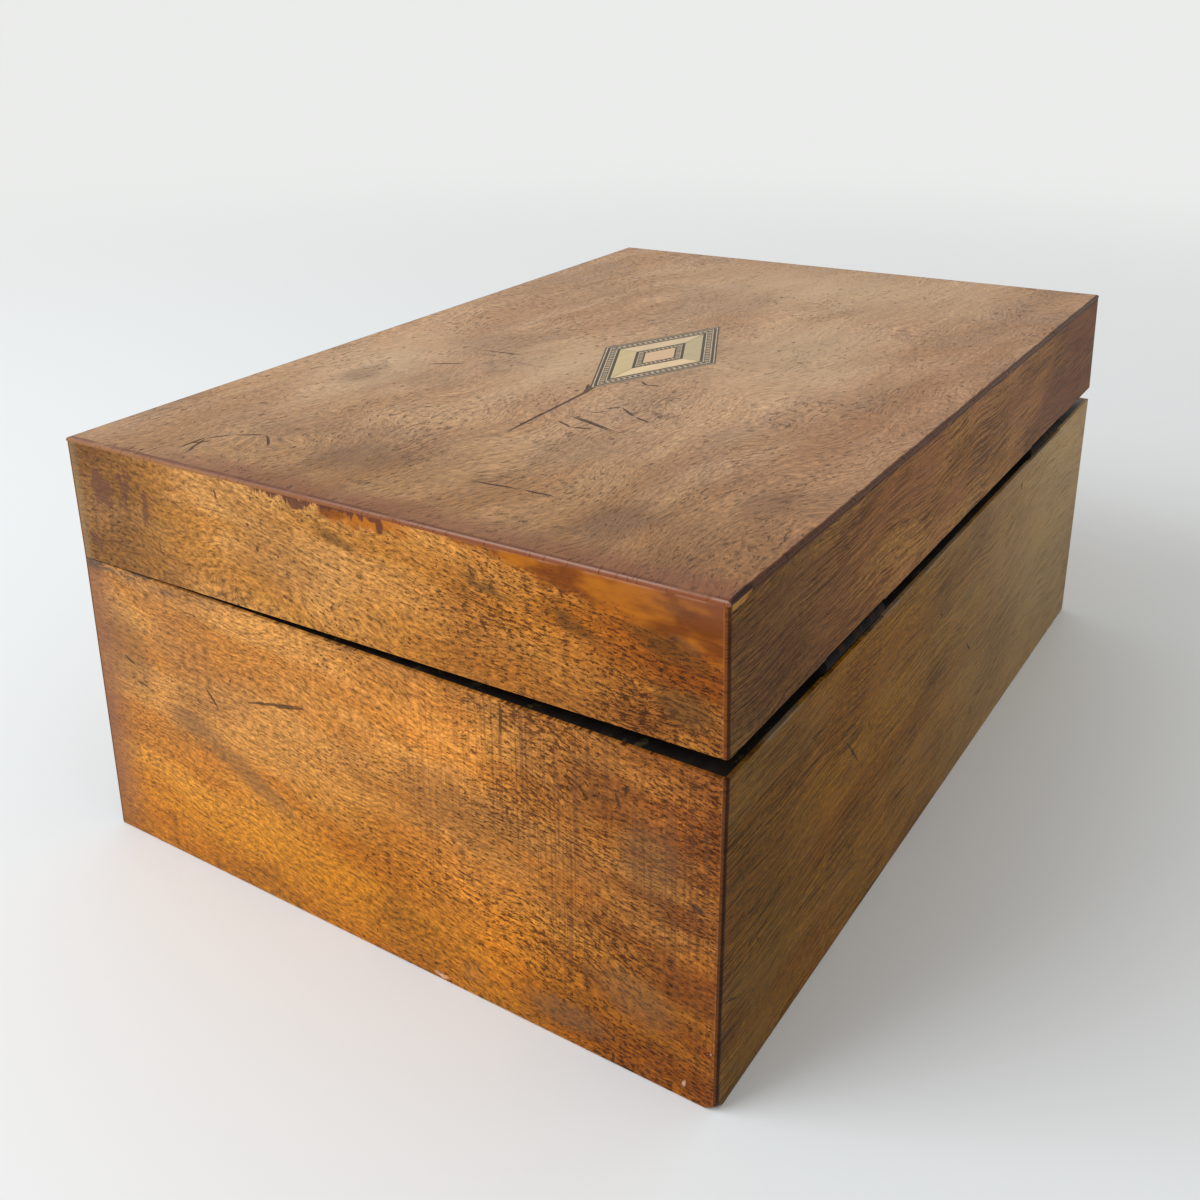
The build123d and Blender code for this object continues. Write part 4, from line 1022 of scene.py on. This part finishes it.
pad = merged_copy("lid_silk_pad", "silk_pad")
swell(pad, pressure=3.0, is_sewn=sewn_to_card, furthest=4 * mm)
soften(pad, rounds=3)
tuft_sink = 4.5 * mm
tuft_spread = 7 * mm
tuft_reach = 30 * mm
pucker_sink = 0.9 * mm
pucker_spread = 9 * mm
pucker_start = 4 * mm
pucker_folds = 9
fold_drift = 40
crease_sink = 1.6 * mm
crease_spread = 3.2 * mm
for vertex in pad.data.vertices:
    local = to_lid(vertex.co)
    front = min(1.0, max(0.0, (pad_seat - seam_height - local.z) / seam_fade))
    if front == 0:
        continue
    sink = 0.0
    for x, y in tufts:
        reach = math.hypot(local.x - x, local.y - y)
        if reach > tuft_reach:
            continue
        turn = math.atan2(local.y - y, local.x - x)
        sink += tuft_sink * math.exp(-((reach / tuft_spread) ** 2))
        folds = math.cos(pucker_folds * turn + fold_drift * x)
        sink += pucker_sink * folds * math.exp(-reach / pucker_spread) * min(1, reach / pucker_start)
    column = local.x / tuft_step_x
    row = local.y / tuft_step_y
    rising = abs((column + row + 0.5) % 1 - 0.5)
    falling = abs((column - row + 0.5) % 1 - 0.5)
    for share in (rising, falling):
        sink += crease_sink * math.exp(-((share * tuft_step_x / crease_spread) ** 2))
    local.z = min(local.z + sink * front, pad_seat - wadding_left)
    vertex.co = from_lid(local)
bpy.ops.object.shade_smooth()
pad.data.materials.append(silk.material)
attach(pad, "lid")
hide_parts("lid_silk_pad")

button_radius = 3.6 * mm
button_flatness = 0.42
button_back = 0.9 * mm
button_sink = 3.4 * mm
for number, (x, y) in enumerate(tufts, 1):
    centre = from_lid((x, y, pad_face + button_sink))
    bpy.ops.object.select_all(action="DESELECT")
    bpy.ops.mesh.primitive_uv_sphere_add(
        segments=24, ring_count=12, radius=button_radius, location=centre
    )
    button = bpy.context.object
    button.name = f"pad_button_{number}"
    bpy.ops.object.transform_apply(location=True, rotation=True, scale=True)
    bpy.ops.object.mode_set(mode="EDIT")
    bpy.ops.mesh.select_all(action="SELECT")
    bpy.ops.transform.resize(value=(1, 1, button_flatness), center_override=centre)
    bpy.ops.mesh.bisect(
        plane_co=centre + Vector((0, 0, button_back)), plane_no=(0, 0, 1), use_fill=True, clear_outer=True
    )
    bpy.ops.object.mode_set(mode="OBJECT")
    bpy.ops.object.shade_smooth()
    button.data.materials.append(silk.material)
    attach(button, "lid")


# Pincushion in the middle bay: bran packed in velvet, sewn shut below, that fills its bay and
# swells above the dividers in a soft crown.

velvet = Finish("blue_velvet", Roughness=0.85)
velvet.shader.inputs["Sheen Weight"].default_value = 0.7
velvet.shader.inputs["Sheen Roughness"].default_value = 0.4
velvet.shader.inputs["Sheen Tint"].default_value = (0.55, 0.7, 0.85, 1)
x, y, z = velvet.axes(velvet.place())
face = velvet.join(x, y + z * 0.8)
pile = velvet.noise(face, (0.5, 0.5), 3, 0.8, 2.0)
crushed = velvet.noise(face, (14, 9), 3, 0.6, 5.0)
cloth = velvet.mix(velvet.step(crushed, 0.25, 0.75), (0.06, 0.13, 0.2), (0.115, 0.21, 0.3))
cloth = velvet.scale(cloth, pile * 0.6 + 0.7)
velvet.finish_off(cloth, None, pile + crushed * 0.5, 0.12)

crown_height = 10 * mm
held_below_crown = 3 * mm
held_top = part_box("pincushion")[1].z - crown_height - held_below_crown


def held_by_bay(place):
    return place.z < held_top


cushion = merged_copy("pincushion", "velvet_pincushion")
swell(cushion, pressure=2.0, is_sewn=held_by_bay, furthest=2 * mm)
soften(cushion, rounds=4)
bpy.ops.object.shade_smooth()
cushion.data.materials.append(velvet.material)
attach(cushion, "tray")
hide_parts("pincushion")


# Floor, light and camera: a pale floor under one large soft lamp, at the left of the photograph,
# and an even sky. The camera stands where the photograph was taken from.

floor_size = 30.0
bpy.ops.mesh.primitive_plane_add(size=floor_size)
floor = bpy.context.object
floor.name = "floor"
pale_floor = Finish("pale_floor", Roughness=0.6)
floor_tone = (0.775, 0.805, 0.83, 1)
far_tone = (0.83, 0.84, 0.83, 1)
pale_floor.shader.inputs["Base Color"].default_value = floor_tone
distance = pale_floor.node("VectorMath", {"operation": "LENGTH"}, {0: pale_floor.place()}, 1)
seen = pale_floor.node("LightPath", {}, {}, "Is Camera Ray")
mirrored = pale_floor.node("LightPath", {}, {}, "Is Glossy Ray")
far = pale_floor.step(distance, 300, 1300) * pale_floor.maths("MAXIMUM", seen, mirrored)
glow = pale_floor.node("Emission", {}, {"Color": far_tone})
lit = Field(pale_floor, pale_floor.shader.outputs[0])
both = pale_floor.node("MixShader", {}, {0: far, 1: lit, 2: glow})
output = pale_floor.material.node_tree.nodes["Material Output"]
pale_floor.material.node_tree.links.new(both.socket, output.inputs["Surface"])
floor.data.materials.append(pale_floor.material)

sky_strength = 0.68
sky = bpy.data.worlds.new("sky")
bpy.context.scene.world = sky
sky.use_nodes = True
sky.node_tree.nodes["Background"].inputs["Color"].default_value = (1.0, 0.985, 0.94, 1)
sky.node_tree.nodes["Background"].inputs["Strength"].default_value = sky_strength

window = bpy.data.lights.new("window", "AREA")
window.energy = 26.5
window.size = 1.3
window.color = (0.95, 0.975, 1.0)
window_lamp = bpy.data.objects.new("window", window)
window_lamp.location = (1.15, -0.95, 1.12)
window_lamp.rotation_euler = (-window_lamp.location).to_track_quat("-Z", "Y").to_euler()
bpy.context.scene.collection.objects.link(window_lamp)

camera_place = (0.3538, 0.2035, 0.2446)
camera_azimuth = 122.65
camera_dip = 19.57
camera_roll = -0.17
camera_data = bpy.data.cameras.new("camera")
camera_data.sensor_width = 36.0
camera_data.lens = 40.37
camera_data.shift_y = -0.142
camera = bpy.data.objects.new("camera", camera_data)
aim = Euler((math.radians(90 - camera_dip), 0, math.radians(camera_azimuth))).to_matrix()
turned = aim @ Matrix.Rotation(math.radians(camera_roll), 3, "Z")
camera.matrix_world = Matrix.Translation(camera_place) @ turned.to_4x4()
bpy.context.scene.collection.objects.link(camera)
bpy.context.scene.camera = camera
bpy.context.scene.view_settings.view_transform = "Standard"
